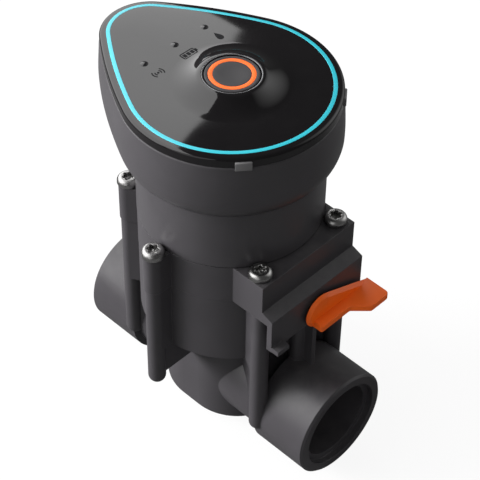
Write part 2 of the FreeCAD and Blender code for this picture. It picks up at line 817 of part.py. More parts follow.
def bonnet():
    parts = [
        cylinder("bonnet_disc", "drum_radius + fit_clearance", "bonnet_height",
                 ("body_axis", 0, "drum_top")),
        hood_shell(),
        box("hood_tab", ("tab_reach + hood_wall / 2", "tab_width", "tab_thickness"),
            ("body_axis + plate_reach - hood_wall / 2", "-hood_half_width",
             "plate_bottom + loose_clearance")),
    ]
    for angle in SCREW_ANGLES:
        tag = "bonnet_column_%d" % angle
        parts.append(cylinder(tag, "bonnet_column_radius", "bonnet_height",
                              on_ring("column_ring", angle, "drum_top")))
        parts.append(spoke(tag + "_flat", angle, "drum_radius - drum_wall / 2", "column_ring",
                           "bonnet_column_radius * 2", "drum_top", "bonnet_top"))
    hull = fuse("bonnet_hull", parts)
    room_radius = "drum_radius + fit_clearance - bonnet_wall"
    tools = [
        cylinder("bonnet_chamber", room_radius, "deck_rise", ("body_axis", 0, "drum_top")),
        cylinder("bonnet_recess", room_radius,
                 "bonnet_height - deck_rise - deck_thickness + overrun", ("body_axis", 0, "deck_top")),
    ]
    body = cut("bonnet_shell", hull, tools)
    additions = [body]
    additions.append(ring_of("spring_boss", "nozzle_bore * 2", "spring_boss_radius",
                             "deck_under - spring_boss_height", "deck_under + overrun"))
    additions.append(cylinder("pilot_nozzle", "nozzle_radius", "nozzle_height + overrun",
                              ("body_axis", 0, "deck_top - 1")))
    for angle in (45, 135, 225, 315):
        at = on_ring("housing_screw_ring", angle, "deck_top - 1")
        additions.append(cylinder("housing_boss_%d" % angle, "housing_boss_radius",
                                  "bonnet_height - deck_rise - deck_thickness + overrun", at))
    solid = fuse("bonnet_solid", additions)
    holes = [
        cylinder("nozzle_hole", "nozzle_bore", "bonnet_height", ("body_axis", 0, "drum_top")),
        cylinder("spindle_window", "spindle_radius + loose_clearance * 4", "hood_wall * 3",
                 ("body_axis + plate_reach - hood_wall * 2", 0, "lever_height"), ALONG_X),
        ring_of("tube_seal_groove", "core_tube_bore + tube_seal_offset",
                "core_tube_bore + tube_seal_offset + tube_seal_width",
                "deck_top - seal_depth", "deck_top + overrun"),
        ring_of("housing_seal_groove", "neck_outer - housing_seal_inset",
                "neck_outer - housing_seal_inset + housing_seal_width",
                "bonnet_top - seal_depth", "bonnet_top + overrun"),
    ]
    for angle in SCREW_ANGLES:
        at = on_ring("column_ring", angle, "drum_top - 1")
        holes.append(cylinder("bonnet_hole_%d" % angle, "screw_radius + loose_clearance",
                              "bonnet_height + 2", at))
    for angle in (45, 135, 225, 315):
        at = on_ring("housing_screw_ring", angle, "deck_top - deck_thickness / 2")
        holes.append(cylinder("housing_pilot_%d" % angle, "housing_screw_radius",
                              "bonnet_height", at))
    for side in (-1, 1):
        at = ("body_axis + %d * flange_screw_at" % side, 0, "deck_top - deck_thickness * 0.8")
        holes.append(cylinder("flange_pilot_%d" % (side + 1), "small_screw_radius",
                              "deck_thickness", at))
    return cut("bonnet", solid, holes)


def bonnet_screws():
    screws = []
    for angle in SCREW_ANGLES:
        at = on_ring("column_ring", angle, "bonnet_top")
        screws.append(screw("bonnet_screw_%d" % angle, at, "screw_radius", "screw_length",
                            "screw_head_radius", "screw_head_height", "screw_recess"))
    return group("bonnet_screws", screws)


# Diaphragm, valve and spring

def diaphragm():
    rim_outer = "(cavity_radius + rim_width - loose_clearance)"
    rim_inner = "(cavity_radius + loose_clearance)"
    rim_bottom = "(drum_top - rim_thickness)"
    flat_bottom = "(seat_top + fit_clearance)"
    flat_top = "(seat_top + fit_clearance + diaphragm_thickness)"
    inner = "(stem_radius + fit_clearance)"
    return turned("diaphragm", [
        (inner, flat_bottom),
        ("diaphragm_flat_radius", flat_bottom),
        ("(diaphragm_flat_radius + %s) / 2" % rim_inner, rim_bottom + " - diaphragm_web"),
        (rim_inner, rim_bottom),
        (rim_outer, rim_bottom),
        (rim_outer, "drum_top"),
        (rim_inner + " - diaphragm_web", "drum_top"),
        ("(diaphragm_flat_radius + %s) / 2 - diaphragm_web" % rim_inner, rim_bottom),
        ("diaphragm_flat_radius - diaphragm_web * 0.5", flat_top),
        (inner, flat_top),
    ])


def diaphragm_plate():
    top = "(flat_top + plate_thickness)"
    return turned("diaphragm_plate", [
        ("valve_bolt_radius", "seat_top"),
        ("stem_radius", "seat_top"),
        ("stem_radius", "flat_top"),
        ("plate_radius", "flat_top"),
        ("plate_radius", top),
        ("valve_bolt_radius", top),
    ])


def valve_guide():
    disc = ring_of("guide_disc", "valve_bolt_radius", "guide_radius",
                   "seat_top - guide_thickness", "seat_top")
    wings = []
    span = "(seat_radius - loose_clearance) * 2"
    for tag, turn in (("lengthwise", 0), ("crosswise", 90)):
        start = ("body_axis - (seat_radius - loose_clearance)", "-wing_thickness / 2")
        if turn:
            start = ("body_axis + wing_thickness / 2", "-(seat_radius - loose_clearance)")
        at = start + ("seat_top - wing_length",)
        wings.append(box("guide_wing_" + tag, (span, "wing_thickness", "wing_length"), at,
                         about_z(turn)))
    hub = cylinder("guide_hub", "stem_radius", "wing_length",
                   ("body_axis", 0, "seat_top - wing_length"))
    solid = fuse("guide_solid", [disc, hub] + wings)
    hole = cylinder("guide_hole", "valve_bolt_radius", "wing_length * 2",
                    ("body_axis", 0, "seat_top - wing_length * 1.5"))
    return cut("valve_guide", solid, [hole])


def valve_bolt():
    low = "(seat_top - wing_length)"
    return turned("valve_bolt", [
        (0, low + " - valve_bolt_head_height"),
        ("valve_bolt_head", low + " - valve_bolt_head_height"),
        ("valve_bolt_head", low),
        ("valve_bolt_radius", low),
        ("valve_bolt_radius", "flat_top + plate_thickness"),
        (0, "flat_top + plate_thickness"),
    ])


def diaphragm_spring():
    bottom = value("flat_top + plate_thickness")
    shape = spring_shape(value("spring_radius"), value("spring_wire"), bottom,
                         value("deck_under"), value("spring_turns"))
    return feature("diaphragm_spring", shape, AXIS)


# Solenoid

def solenoid_tube():
    blank = turned("tube_blank", [
        ("core_tube_bore", "deck_top"),
        ("flange_screw_at + small_head_radius", "deck_top"),
        ("flange_screw_at + small_head_radius", "frame_bottom"),
        ("tube_outer", "frame_bottom"),
        ("tube_outer", "tube_top"),
        ("core_tube_bore", "tube_top"),
    ])
    holes = []
    for side in (-1, 1):
        at = ("body_axis + %d * flange_screw_at" % side, 0, "deck_top - 1")
        holes.append(cylinder("flange_hole_%d" % (side + 1), "small_screw_radius + loose_clearance",
                              "flange_thickness + 2", at))
    return cut("solenoid_tube", blank, holes)


def solenoid_screws():
    screws = []
    for side in (-1, 1):
        at = ("body_axis + %d * flange_screw_at" % side, 0, "frame_bottom")
        screws.append(screw("flange_screw_%d" % (side + 1), at, "small_screw_radius",
                            "flange_thickness + deck_thickness * 0.7", "small_head_radius",
                            "small_head_height", "small_recess"))
    return group("solenoid_screws", screws)


def solenoid_seal():
    inner = "core_tube_bore + tube_seal_offset + fit_clearance"
    return ring_of("solenoid_seal", inner, inner + " + tube_seal_width - 2 * fit_clearance",
                   "deck_top - seal_depth", "deck_top")


def fixed_core():
    return turned("fixed_core", [
        (0, "plunger_top + plunger_gap"),
        ("core_tube_bore - running_clearance", "plunger_top + plunger_gap"),
        ("core_tube_bore - running_clearance", "tube_top"),
        ("tube_outer", "tube_top"),
        ("tube_outer", "tube_top + core_tube_wall"),
        ("stud_radius", "tube_top + core_tube_wall"),
        ("stud_radius", "tube_top + core_tube_wall + stud_length"),
        (0, "tube_top + core_tube_wall + stud_length"),
    ])


def plunger():
    return turned("plunger", [
        (0, "plunger_bottom + plunger_seal_thickness - plunger_rise"),
        ("plunger_seal_radius", "plunger_bottom + plunger_seal_thickness - plunger_rise"),
        ("plunger_seal_radius", "plunger_bottom"),
        ("core_tube_bore - fit_clearance", "plunger_bottom"),
        ("core_tube_bore - fit_clearance", "plunger_top"),
        ("plunger_spring_bore", "plunger_top"),
        ("plunger_spring_bore", "plunger_top - plunger_spring_depth"),
        (0, "plunger_top - plunger_spring_depth"),
    ])


def plunger_seal():
    return cylinder("plunger_seal", "plunger_seal_radius", "plunger_seal_thickness",
                    ("body_axis", 0, "plunger_bottom - plunger_rise"))


def plunger_spring():
    shape = spring_shape(value("plunger_spring_radius"), value("plunger_spring_wire"),
                         value("plunger_top - plunger_spring_depth"),
                         value("plunger_top + plunger_gap"), value("plunger_spring_turns"))
    return feature("plunger_spring", shape, AXIS)


def coil_bobbin():
    bore = "(core_tube_bore + core_tube_wall + fit_clearance)"
    spool = turned("bobbin_spool", [
        (bore, "bobbin_bottom"),
        ("bobbin_flange", "bobbin_bottom"),
        ("bobbin_flange", "bobbin_bottom + bobbin_flange_thickness"),
        ("barrel", "bobbin_bottom + bobbin_flange_thickness"),
        ("barrel", "bobbin_top - bobbin_flange_thickness"),
        ("bobbin_flange", "bobbin_top - bobbin_flange_thickness"),
        ("bobbin_flange", "bobbin_top"),
        (bore, "bobbin_top"),
    ])
    lug = box("bobbin_lug", ("bobbin_flange_thickness * 2", "pin_spacing + 4 * lead_radius",
                             "bobbin_flange_thickness"),
              ("body_axis + bobbin_flange - bobbin_flange_thickness",
               "-pin_spacing / 2 - 2 * lead_radius", "bobbin_top - bobbin_flange_thickness"))
    return fuse("coil_bobbin", [spool, lug])


def coil_winding():
    return ring_of("coil_winding", "barrel", "winding_radius",
                   "bobbin_bottom + bobbin_flange_thickness",
                   "bobbin_top - bobbin_flange_thickness")


def coil_frame():
    height = "(frame_top - frame_bottom)"
    outer = box("frame_outer", ("frame_half_width * 2", "frame_half_depth * 2", height),
                ("body_axis - frame_half_width", "-frame_half_depth", "frame_bottom"))
    room = box("frame_room", ("frame_half_width * 3", "(frame_half_depth - frame_thickness) * 2",
                              "%s - 2 * frame_thickness" % height),
               ("body_axis - frame_half_width * 1.5", "-(frame_half_depth - frame_thickness)",
                "bobbin_bottom"))
    low_hole = cylinder("frame_low_hole", "tube_outer + fit_clearance", "frame_thickness * 2",
                        ("body_axis", 0, "frame_bottom - frame_thickness / 2"))
    top_hole = cylinder("frame_top_hole", "stud_radius + fit_clearance", "frame_thickness * 2",
                        ("body_axis", 0, "frame_top - frame_thickness * 1.5"))
    return cut("coil_frame", outer, [room, low_hole, top_hole])


def coil_nut():
    blank = prism("nut_blank", 6, "nut_radius", "nut_height", ("body_axis", 0, "frame_top"))
    bore = cylinder("nut_bore", "stud_radius + running_clearance", "nut_height * 2",
                    ("body_axis", 0, "frame_top - nut_height / 2"))
    return cut("coil_nut", blank, [bore])


# Contacts that carry the coil's current up into the head

def contact_post():
    post = box("post_stem", ("post_thickness", "post_width", "post_top - floor_top"),
               ("body_axis + post_at - post_thickness / 2", "-post_width / 2", "floor_top"))
    foot = box("post_foot", ("post_thickness + 2 * post_foot_lip",
                             "post_width + 2 * post_foot_reach", "post_foot_thickness"),
               ("body_axis + post_at - post_thickness / 2 - post_foot_lip",
                "-post_width / 2 - post_foot_reach", "floor_top"))
    solid = fuse("post_solid", [post, foot])
    holes = []
    for side in (-1, 1):
        y = "%d * pin_spacing / 2" % side
        holes.append(cylinder("post_pin_hole_%d" % (side + 1), "pin_radius", "pin_root * 2",
                              ("body_axis + post_at", y, "post_top - pin_root")))
        y = "%d * (post_width + post_foot_reach) / 2" % side
        holes.append(cylinder("post_screw_hole_%d" % (side + 1),
                              "small_screw_radius + loose_clearance", "post_foot_thickness * 2",
                              ("body_axis + post_at", y, "floor_top - post_foot_thickness / 2")))
    return cut("contact_post", solid, holes)


def post_screws():
    screws = []
    for side in (-1, 1):
        at = ("body_axis + post_at", "%d * (post_width + post_foot_reach) / 2" % side,
              "floor_top + post_foot_thickness")
        screws.append(screw("post_screw_%d" % (side + 1), at, "small_screw_radius",
                            "post_screw_length", "small_head_radius", "small_head_height",
                            "small_recess"))
    return group("post_screws", screws)


def contact_pins():
    pins = []
    for side in (-1, 1):
        at = ("body_axis + post_at", "%d * pin_spacing / 2" % side, "post_top - pin_root")
        pins.append(cylinder("contact_pin_%d" % (side + 1), "pin_radius",
                             "pin_length + pin_root", at))
    return group("contact_pins", pins)


def coil_leads():
    leads = []
    start = "body_axis + bobbin_flange + bobbin_flange_thickness"
    for side in (-1, 1):
        at = (start, "%d * pin_spacing / 2" % side, "bobbin_top - bobbin_flange_thickness / 2")
        reach = "post_at - post_thickness / 2 - bobbin_flange - bobbin_flange_thickness"
        leads.append(cylinder("coil_lead_%d" % (side + 1), "lead_radius", reach, at, ALONG_X))
    return group("coil_leads", leads)


def contact_socket():
    block = box("socket_block", ("post_thickness", "post_width", "socket_block_height"),
                ("body_axis + post_at - post_thickness / 2", "-post_width / 2",
                 "post_top + socket_gap"))
    holes = []
    for side in (-1, 1):
        at = ("body_axis + post_at", "%d * pin_spacing / 2" % side, "post_top")
        holes.append(cylinder("socket_hole_%d" % (side + 1), "pin_radius + fit_clearance * 2",
                              "pin_length + loose_clearance", at))
    return cut("contact_socket", block, holes)


# Housing of the head

def housing():
    rim = value("rim_top")
    wall = value("housing_wall")
    floor = value("floor_top")
    outside = [(level, 0, rim - value(level + "_drop")) for level, *rest in SECTIONS]
    inside = [(level, wall, rim - value(level + "_drop")) for level in ("rim", "shoulder", "belly")]
    inside.append(("hem", wall, rim - value("hem_drop") + wall))
    inside.append(("foot", 0, rim - value("foot_drop") + wall))
    base = value("bonnet_top")
    foot_top = rim - value("hem_drop")
    shell = egg_loft(outside[::-1])
    neck = Part.makeCylinder(value("neck_outer"), foot_top - base, Vector(0, 0, base))
    room = egg_loft(inside[::-1])
    throat_radius = value("neck_outer") - wall
    throat = Part.makeCylinder(throat_radius, foot_top - floor, Vector(0, 0, floor))
    shape = shell.fuse(neck).cut(room).cut(throat).cut(holder_space())
    shape = shape.cut(Part.makeCylinder(value("housing_floor_hole"), 2 * wall,
                                        Vector(0, 0, base - wall / 2)))
    radius = value("housing_screw_radius + loose_clearance")
    for angle in (45, 135, 225, 315):
        across = value("housing_screw_ring * cos(%d)" % angle)
        along = value("housing_screw_ring * sin(%d)" % angle)
        hole = Part.makeCylinder(radius, 2 * wall, Vector(across, along, base - wall / 2))
        shape = shape.cut(hole)
    for side in (-1, 1):
        along = value("%d * (post_width + post_foot_reach) / 2" % side)
        hole = Part.makeCylinder(value("small_screw_radius"), 2 * wall,
                                 Vector(value("post_at"), along, base - wall / 2))
        shape = shape.cut(hole)
    reach = value("rim_wide")
    for side in (-1, 1):
        notch = catch_block(side, reach - value("catch_length + loose_clearance"), reach + wall,
                            value("catch_width / 2 + fit_clearance * 2"),
                            rim - value("catch_drop + fit_clearance * 2"), rim + wall)
        shape = shape.cut(notch)
    return feature("housing", shape, AXIS)


def holder_space():
    """The slanting underside keeps clear of the battery holder's lower corners."""
    clearance = value("loose_clearance")
    start = value("battery_centre - battery_length / 2 - snap_length - strip_thickness - holder_wall")
    end = value("holder_end")
    bottom = value("battery_bottom - holder_wall")
    height = value("board_bottom - battery_bottom + holder_wall")
    width = value("battery_width + 2 * holder_gap + 2 * holder_wall")
    return Part.makeBox(end - start + 2 * clearance, width + 2 * clearance, height + clearance,
                        Vector(start - clearance, -width / 2 - clearance, bottom - clearance))


def catch_block(side, inner, outer, half_width, bottom, top):
    """A block that lies along a release catch's radius, on one side of the head."""
    block = Part.makeBox(outer - inner, 2 * half_width, top - bottom,
                         Vector(inner, -half_width, bottom))
    block.rotate(Vector(0, 0, 0), Vector(0, 0, 1), side * value("catch_angle"))
    return block


def housing_screws():
    screws = []
    for angle in (45, 135, 225, 315):
        at = on_ring("housing_screw_ring", angle, "floor_top")
        screws.append(screw("housing_screw_%d" % angle, at, "housing_screw_radius",
                            "floor_top - deck_top", "housing_head_radius",
                            "housing_head_height", "housing_recess"))
    return group("housing_screws", screws)


def housing_seal():
    inner = "neck_outer - housing_seal_inset + fit_clearance"
    return ring_of("housing_seal", inner, inner + " + housing_seal_width - 2 * fit_clearance",
                   "bonnet_top - seal_depth", "bonnet_top")


# Lid and what it carries

def lid():
    rim = value("rim_top")
    inset = value("lid_inset")
    edge = value("lid_edge")
    wall_top = rim + value("lid_wall_height")
    crown = value("crown")
    top = crown + value("lid_rise")
    shape = egg_slab(inset, rim, wall_top)
    shape = shape.fuse(egg_loft([
        ("rim", inset, wall_top),
        ("rim", inset + edge * 0.3, wall_top + edge * 0.7),
        ("rim", inset + edge, crown),
    ]))
    shape = shape.fuse(egg_loft([
        ("rim", inset + edge, crown),
        ("rim", inset + edge * 4, crown + value("lid_rise") * 0.7),
        ("rim", inset + edge * 9, top),
    ]))
    plateau = value("plateau")
    radius = value("mound_radius")
    flat = value("plateau_radius")
    rise = plateau - top
    profile = Part.makePolygon([Vector(0, 0, rim), Vector(radius, 0, rim), Vector(radius, 0, top)])
    flare = Part.Arc(Vector(radius, 0, top),
                     Vector(flat + (radius - flat) * 0.42, 0, top + rise * 0.32),
                     Vector(flat, 0, plateau)).toShape()
    close = Part.makePolygon([Vector(flat, 0, plateau), Vector(0, 0, plateau), Vector(0, 0, rim)])
    mound_face = Part.Face(Part.Wire(profile.Edges + [flare] + close.Edges))
    shape = shape.fuse(mound_face.revolve(Vector(0, 0, 0), Vector(0, 0, 1), 360))
    spigot_outer = value("housing_wall + spigot_gap")
    spigot_inner = value("housing_wall + spigot_gap + spigot_wall")
    spigot_bottom = rim - value("spigot_depth")
    shape = shape.fuse(egg_slab(spigot_outer, spigot_bottom, rim + edge))
    shape = shape.cut(egg_slab(spigot_inner, spigot_bottom - edge, value("lid_under")))
    seal_bottom = spigot_bottom + value("seal_height / 2")
    groove = egg_ring(value("housing_wall"), spigot_outer + value("seal_depth"), seal_bottom,
                      seal_bottom + value("seal_height"))
    shape = shape.cut(groove)
    trim = egg_ring(value("lid_inset + trim_inset - trim_width / 2"),
                    value("lid_inset + trim_inset + trim_width / 2"),
                    crown + value("trim_proud - trim_depth"), plateau)
    shape = shape.cut(trim)
    shape = shape.cut(Part.makeCylinder(value("bore"), 2 * (plateau - rim), Vector(0, 0, rim)))
    step = value("button_step")
    shape = shape.cut(Part.makeCylinder(value("button_room"), step - rim, Vector(0, 0, rim)))
    for across, along in led_places():
        hole = Part.makeCylinder(value("guide_light_radius"), plateau - rim,
                                 Vector(across, along, rim))
        shape = shape.cut(hole)
    reach = value("rim_wide")
    for side in (-1, 1):
        slot = catch_block(side, reach - value("catch_length + 2 * catch_travel"), reach + edge,
                           value("catch_width / 2 + fit_clearance"),
                           rim - value("catch_drop + fit_clearance * 2"),
                           rim - value("catch_drop - catch_height - fit_clearance * 2"))
        shape = shape.cut(slot)
    board_top = value("board_top")
    bosses = []
    for across, along in board_screw_places():
        bosses.append(Part.makeCylinder(value("board_boss_radius"),
                                        value("board_space + lid_thickness / 4"),
                                        Vector(across, along, board_top)))
    shape = shape.fuse(bosses)
    for across, along in board_screw_places():
        shape = shape.cut(Part.makeCylinder(value("small_screw_radius"),
                                            value("board_screw_length - board_thickness / 2"),
                                            Vector(across, along,
                                                   board_top - value("board_thickness / 2"))))
    return feature("lid", shape, AXIS)


def led_places():
    """The three lamps stand in a row across the narrow end."""
    back = -value("led_back")
    beside = value("led_spacing")
    return [(back, 0), (back, beside), (back, -beside)]


def board_screw_places():
    """Two screws on the board's wide arc and two on its narrow one, in from its edge."""
    inset = value("housing_wall + spigot_gap + spigot_wall + board_gap + board_screw_edge")
    places = []
    for level, middle, angle in (("rim_wide", -value("wide_centre"), 35),
                                 ("rim_narrow", -value("rim_back"), 135)):
        radius = value(level) - inset
        across = middle + radius * math.cos(math.radians(angle))
        along = radius * math.sin(math.radians(angle))
        places += [(across, along), (across, -along)]
    return places


def cyan_trim():
    top = value("crown + trim_proud")
    shape = egg_ring(value("lid_inset + trim_inset - trim_width / 2"),
                     value("lid_inset + trim_inset + trim_width / 2"),
                     top - value("trim_depth"), top)
    return feature("cyan_trim", shape, AXIS)


def lid_seal():
    spigot_outer = value("housing_wall + spigot_gap")
    bottom = value("rim_top - spigot_depth + seal_height / 2")
    shape = egg_ring(spigot_outer - value("spigot_gap") + value("fit_clearance"),
                     spigot_outer + value("seal_depth"), bottom, bottom + value("seal_height"))
    return feature("lid_seal", shape, AXIS)


def button_bezel():
    return ring_of("button_bezel", "button_radius + button_gap", "bore",
                   "button_step", "plateau + fit_clearance")


def button():
    low = "(plateau - button_thickness)"
    flange_low = "(%s - button_flange_thickness)" % low
    key_top = "(board_top + switch_height + button_travel)"
    return turned("button", [
        (0, key_top),
        ("key_radius", key_top),
        ("key_radius", low),
        ("button_radius - button_flange_width", low),
        ("button_radius - button_flange_width", flange_low),
        ("button_radius + button_flange_width", flange_low),
        ("button_radius + button_flange_width", low),
        ("button_radius", low),
        ("button_radius", "plateau"),
        ("button_ring_outer", "plateau"),
        ("button_ring_outer", "plateau - button_ring_depth"),
        ("button_ring_inner", "plateau - button_ring_depth"),
        ("button_ring_inner", "plateau"),
        (0, "plateau"),
    ])


def button_ring():
    return ring_of("button_ring", "button_ring_inner", "button_ring_outer",
                   "plateau - button_ring_depth", "plateau")


def button_boot():
    """The rubber sleeve that presses the button back up from the board."""
    low = "(board_top)"
    high = "(plateau - button_thickness - button_flange_thickness)"
    return turned("button_boot", [
        ("button_radius - boot_inset", low),
        ("button_radius + boot_flare", low),
        ("button_radius + boot_flare", low + " + boot_foot_height"),
        ("button_radius - boot_inset + boot_wall", high),
        ("button_radius - boot_inset", high),
    ])


def tact_switch():
    block = box("switch_block", ("switch_size", "switch_size", "switch_height"),
                ("body_axis - switch_size / 2", "-switch_size / 2", "board_top"))
    well = cylinder("switch_well", "key_radius + fit_clearance * 2", "switch_height",
                    ("body_axis", 0, "board_top + switch_height * 0.4"))
    return cut("tact_switch", block, [well])


def switch_key():
    bottom = "(board_top + switch_height * 0.4 + button_travel + fit_clearance)"
    top = "(board_top + switch_height + button_travel)"
    return turned("switch_key", [
        (0, bottom),
        ("key_radius", bottom),
        ("key_radius", top),
        (0, top),
    ])


def circuit_board():
    inset = value("housing_wall + spigot_gap + spigot_wall + board_gap")
    shape = egg_slab(inset, value("board_bottom"), value("board_top"))
    for across, along in board_screw_places():
        shape = shape.cut(Part.makeCylinder(value("small_screw_radius + loose_clearance"),
                                            value("board_thickness * 3"),
                                            Vector(across, along,
                                                   value("board_bottom - board_thickness"))))
    return feature("circuit_board", shape, AXIS)


def board_screws():
    screws = []
    for number, (across, along) in enumerate(board_screw_places()):
        blank = Part.makeCylinder(value("small_screw_radius"), value("board_screw_length"),
                                  Vector(across, along, value("board_bottom")))
        head = Part.makeCylinder(value("small_head_radius"), value("small_head_height"),
                                 Vector(across, along,
                                        value("board_bottom - small_head_height")))
        screws.append(feature("board_screw_%d" % number, blank.fuse(head), AXIS))
    return group("board_screws", screws)


def leds():
    lamps = []
    for number, y in enumerate((0, "led_spacing", "-led_spacing")):
        middle = "0" if y == 0 else y
        at = ("body_axis - led_back - led_size / 2", "%s - led_size / 2" % middle, "board_top")
        lamps.append(box("led_%d" % number, ("led_size", "led_size", "led_height"), at))
    return group("leds", lamps)


def light_guides():
    bottom = "(board_top + led_height)"
    guides = []
    for number, y in enumerate((0, "led_spacing", "-led_spacing")):
        at = ("body_axis - led_back", y, bottom)
        guides.append(cylinder("light_guide_%d" % number, "guide_light_radius",
                               "crown - " + bottom, at))
    return group("light_guides", guides)


def battery():
    block = box("battery_block", ("battery_length", "battery_width", "battery_height"),
                ("body_axis + battery_centre - battery_length / 2", "-battery_width / 2",
                 "battery_bottom"))
    snaps = []
    for side in (-1, 1):
        at = ("body_axis + battery_centre - battery_length / 2 - snap_length",
              "%d * snap_spacing / 2" % side, "battery_bottom + battery_height / 2")
        snaps.append(cylinder("snap_%d" % (side + 1), "snap_radius", "snap_length + overrun", at,
                              ALONG_X))
    return fuse("battery", [block] + snaps)


def battery_clip():
    """The pair of snap terminals on their strip, at the battery's end."""
    x = "body_axis + battery_centre - battery_length / 2 - snap_length - strip_thickness"
    return box("battery_clip", ("strip_thickness", "snap_spacing + 2 * snap_radius", "snap_radius * 2"),
               (x, "-snap_spacing / 2 - snap_radius",
                "battery_bottom + battery_height / 2 - snap_radius"))


def battery_holder():
    length = "(battery_length + snap_length + strip_thickness + holder_gap)"
    start = "body_axis + battery_centre - battery_length / 2 - snap_length - strip_thickness"
    height = "board_bottom - battery_bottom + holder_wall"
    outer = box("holder_outer", (length + " + 2 * holder_wall",
                                 "battery_width + 2 * holder_gap + 2 * holder_wall", height),
                (start + " - holder_wall", "-battery_width / 2 - holder_gap - holder_wall",
                 "battery_bottom - holder_wall"))
    room = box("holder_room", (length, "battery_width + 2 * holder_gap",
                               "battery_height + holder_gap"),
               (start, "-battery_width / 2 - holder_gap", "battery_bottom"))
    mouth = box("holder_mouth", (length + " - 2 * holder_wall", "battery_width + 2 * holder_gap",
                                 "holder_wall * 3"),
                (start + " + holder_wall", "-battery_width / 2 - holder_gap",
                 "battery_bottom - holder_wall * 2"))
    return cut("battery_holder", outer, [room, mouth])


def release_catch(name, side):
    reach = value("rim_wide")
    half_width = value("catch_width / 2")
    seam = value("rim_top")
    top = seam - value("catch_drop") + value("catch_height")
    body = catch_block(side, reach - value("catch_length"), reach, half_width,
                       seam + value("fit_clearance") * 2, top)
    nose = catch_block(side, reach - value("catch_nose"), reach, half_width, seam - value("catch_drop"), top)
    return feature(name, body.fuse(nose).removeSplitter(), AXIS)


# Bleed lever and its spindle

def lever():
    """A chamfered disc, a flat paddle under it and a web that falls from one to the other."""
    hub = turned("lever_hub", [
        (0, 0),
        ("hub_radius", 0),
        ("hub_radius", "hub_edge"),
        ("hub_radius - hub_chamfer", "hub_thickness"),
        (0, "hub_thickness"),
    ], ("body_axis + " + "lever_back", 0, "lever_height"), ALONG_X)
    outline = [
        ("lever_back", "-arm_back"),
        ("lever_back + arm_depth", "-arm_back"),
        ("lever_back + arm_depth", "arm_front"),
        ("lever_back + paddle_depth", "arm_front + paddle_depth - arm_depth"),
        ("lever_back + paddle_depth", "paddle_outer - paddle_chamfer"),
        ("lever_back + paddle_depth - paddle_chamfer", "paddle_outer"),
        ("lever_back + paddle_chamfer / 2", "paddle_outer"),
        ("lever_back", "paddle_outer - paddle_chamfer"),
    ]
    paddle = padded("lever_paddle", outline, "XY_Plane", "paddle_thickness",
                    ("body_axis", 0, "paddle_bottom"))
    web = feature("lever_web", web_shape(), AXIS)
    solid = fuse("lever_solid", [hub, paddle, web])
    bore = prism("lever_bore", 4, "spindle_radius", "hub_thickness + 2 * square_root",
                 ("body_axis + lever_back - square_root", 0, "lever_height"), ALONG_X)
    return cut("lever", solid, [bore])


def web_shape():
    """The web's top runs from the disc's tangent down to the paddle's far corner."""
    back, face = value("lever_back"), value("lever_face")
    height, radius = value("lever_height"), value("hub_radius")
    low, top = value("paddle_bottom"), value("paddle_bottom + paddle_thickness")
    far = value("paddle_outer - paddle_chamfer")
    to_corner = math.atan2(top - height, far)
    reach = math.hypot(far, top - height)
    touch = to_corner + math.acos(radius / reach)
    near_y = radius * math.cos(touch)
    near_z = height + radius * math.sin(touch)
    drop = value("hub_chamfer")
    behind = [Vector(back, near_y, low), Vector(back, far, low), Vector(back, far, top),
              Vector(back, near_y, near_z)]
    ahead = [Vector(face, near_y, low), Vector(face, far, low), Vector(face, far, top - drop),
             Vector(face, near_y, near_z - drop)]
    return six_sided(behind, ahead)


def six_sided(first, last):
    """A block between two plane quadrilaterals whose corners match in order."""
    loops = [first, last]
    for number in range(4):
        following = (number + 1) % 4
        loops.append([first[number], first[following], last[following], last[number]])
    faces = [Part.Face(Part.makePolygon(loop + [loop[0]])) for loop in loops]
    solid = Part.Solid(Part.Shell(faces))
    if solid.Volume < 0:
        solid.reverse()
    return solid


def lever_spindle():
    """A brass spindle, cross-drilled at the bleed channel, with a square for the lever."""
    start = "(spindle_end + loose_clearance)"
    clip_at = "(block_reach + running_clearance)"
    shaft = turned("spindle_shaft", [
        (0, start),
        ("spindle_radius", start),
        ("spindle_radius", "seal_at"),
        ("spindle_radius - seal_depth", "seal_at"),
        ("spindle_radius - seal_depth", "seal_at + seal_depth"),
        ("spindle_radius", "seal_at + seal_depth"),
        ("spindle_radius", clip_at),
        ("spindle_radius - clip_depth", clip_at),
        ("spindle_radius - clip_depth", clip_at + " + clip_thickness"),
        ("spindle_radius", clip_at + " + clip_thickness"),
        ("spindle_radius", "lever_back"),
        (0, "lever_back"),
    ], ("body_axis", 0, "lever_height"), ALONG_X)
    square = prism("spindle_square", 4, "spindle_radius",
                   "hub_thickness + square_root - square_recess",
                   ("body_axis + lever_back - square_root", 0, "lever_height"), ALONG_X)
    solid = fuse("spindle_solid", [shaft, square])
    port = cylinder("spindle_port", "bleed_bore", "spindle_radius * 4",
                    ("body_axis + bleed_at", "-spindle_radius * 2", "lever_height"),
                    FreeCAD.Rotation(Vector(1, 0, 0), -90))
    return cut("lever_spindle", solid, [port])


def spindle_seal():
    return ring_of("spindle_seal", "spindle_radius - seal_depth", "spindle_radius", "seal_at",
                   "seal_at + seal_depth", ("body_axis", 0, "lever_height"), ALONG_X)


def spindle_clip():
    clip_at = "(block_reach + running_clearance)"
    return ring_of("spindle_clip", "spindle_radius - clip_depth", "spindle_radius + clip_depth * 2",
                   clip_at, clip_at + " + clip_thickness", ("body_axis", 0, "lever_height"),
                   ALONG_X)


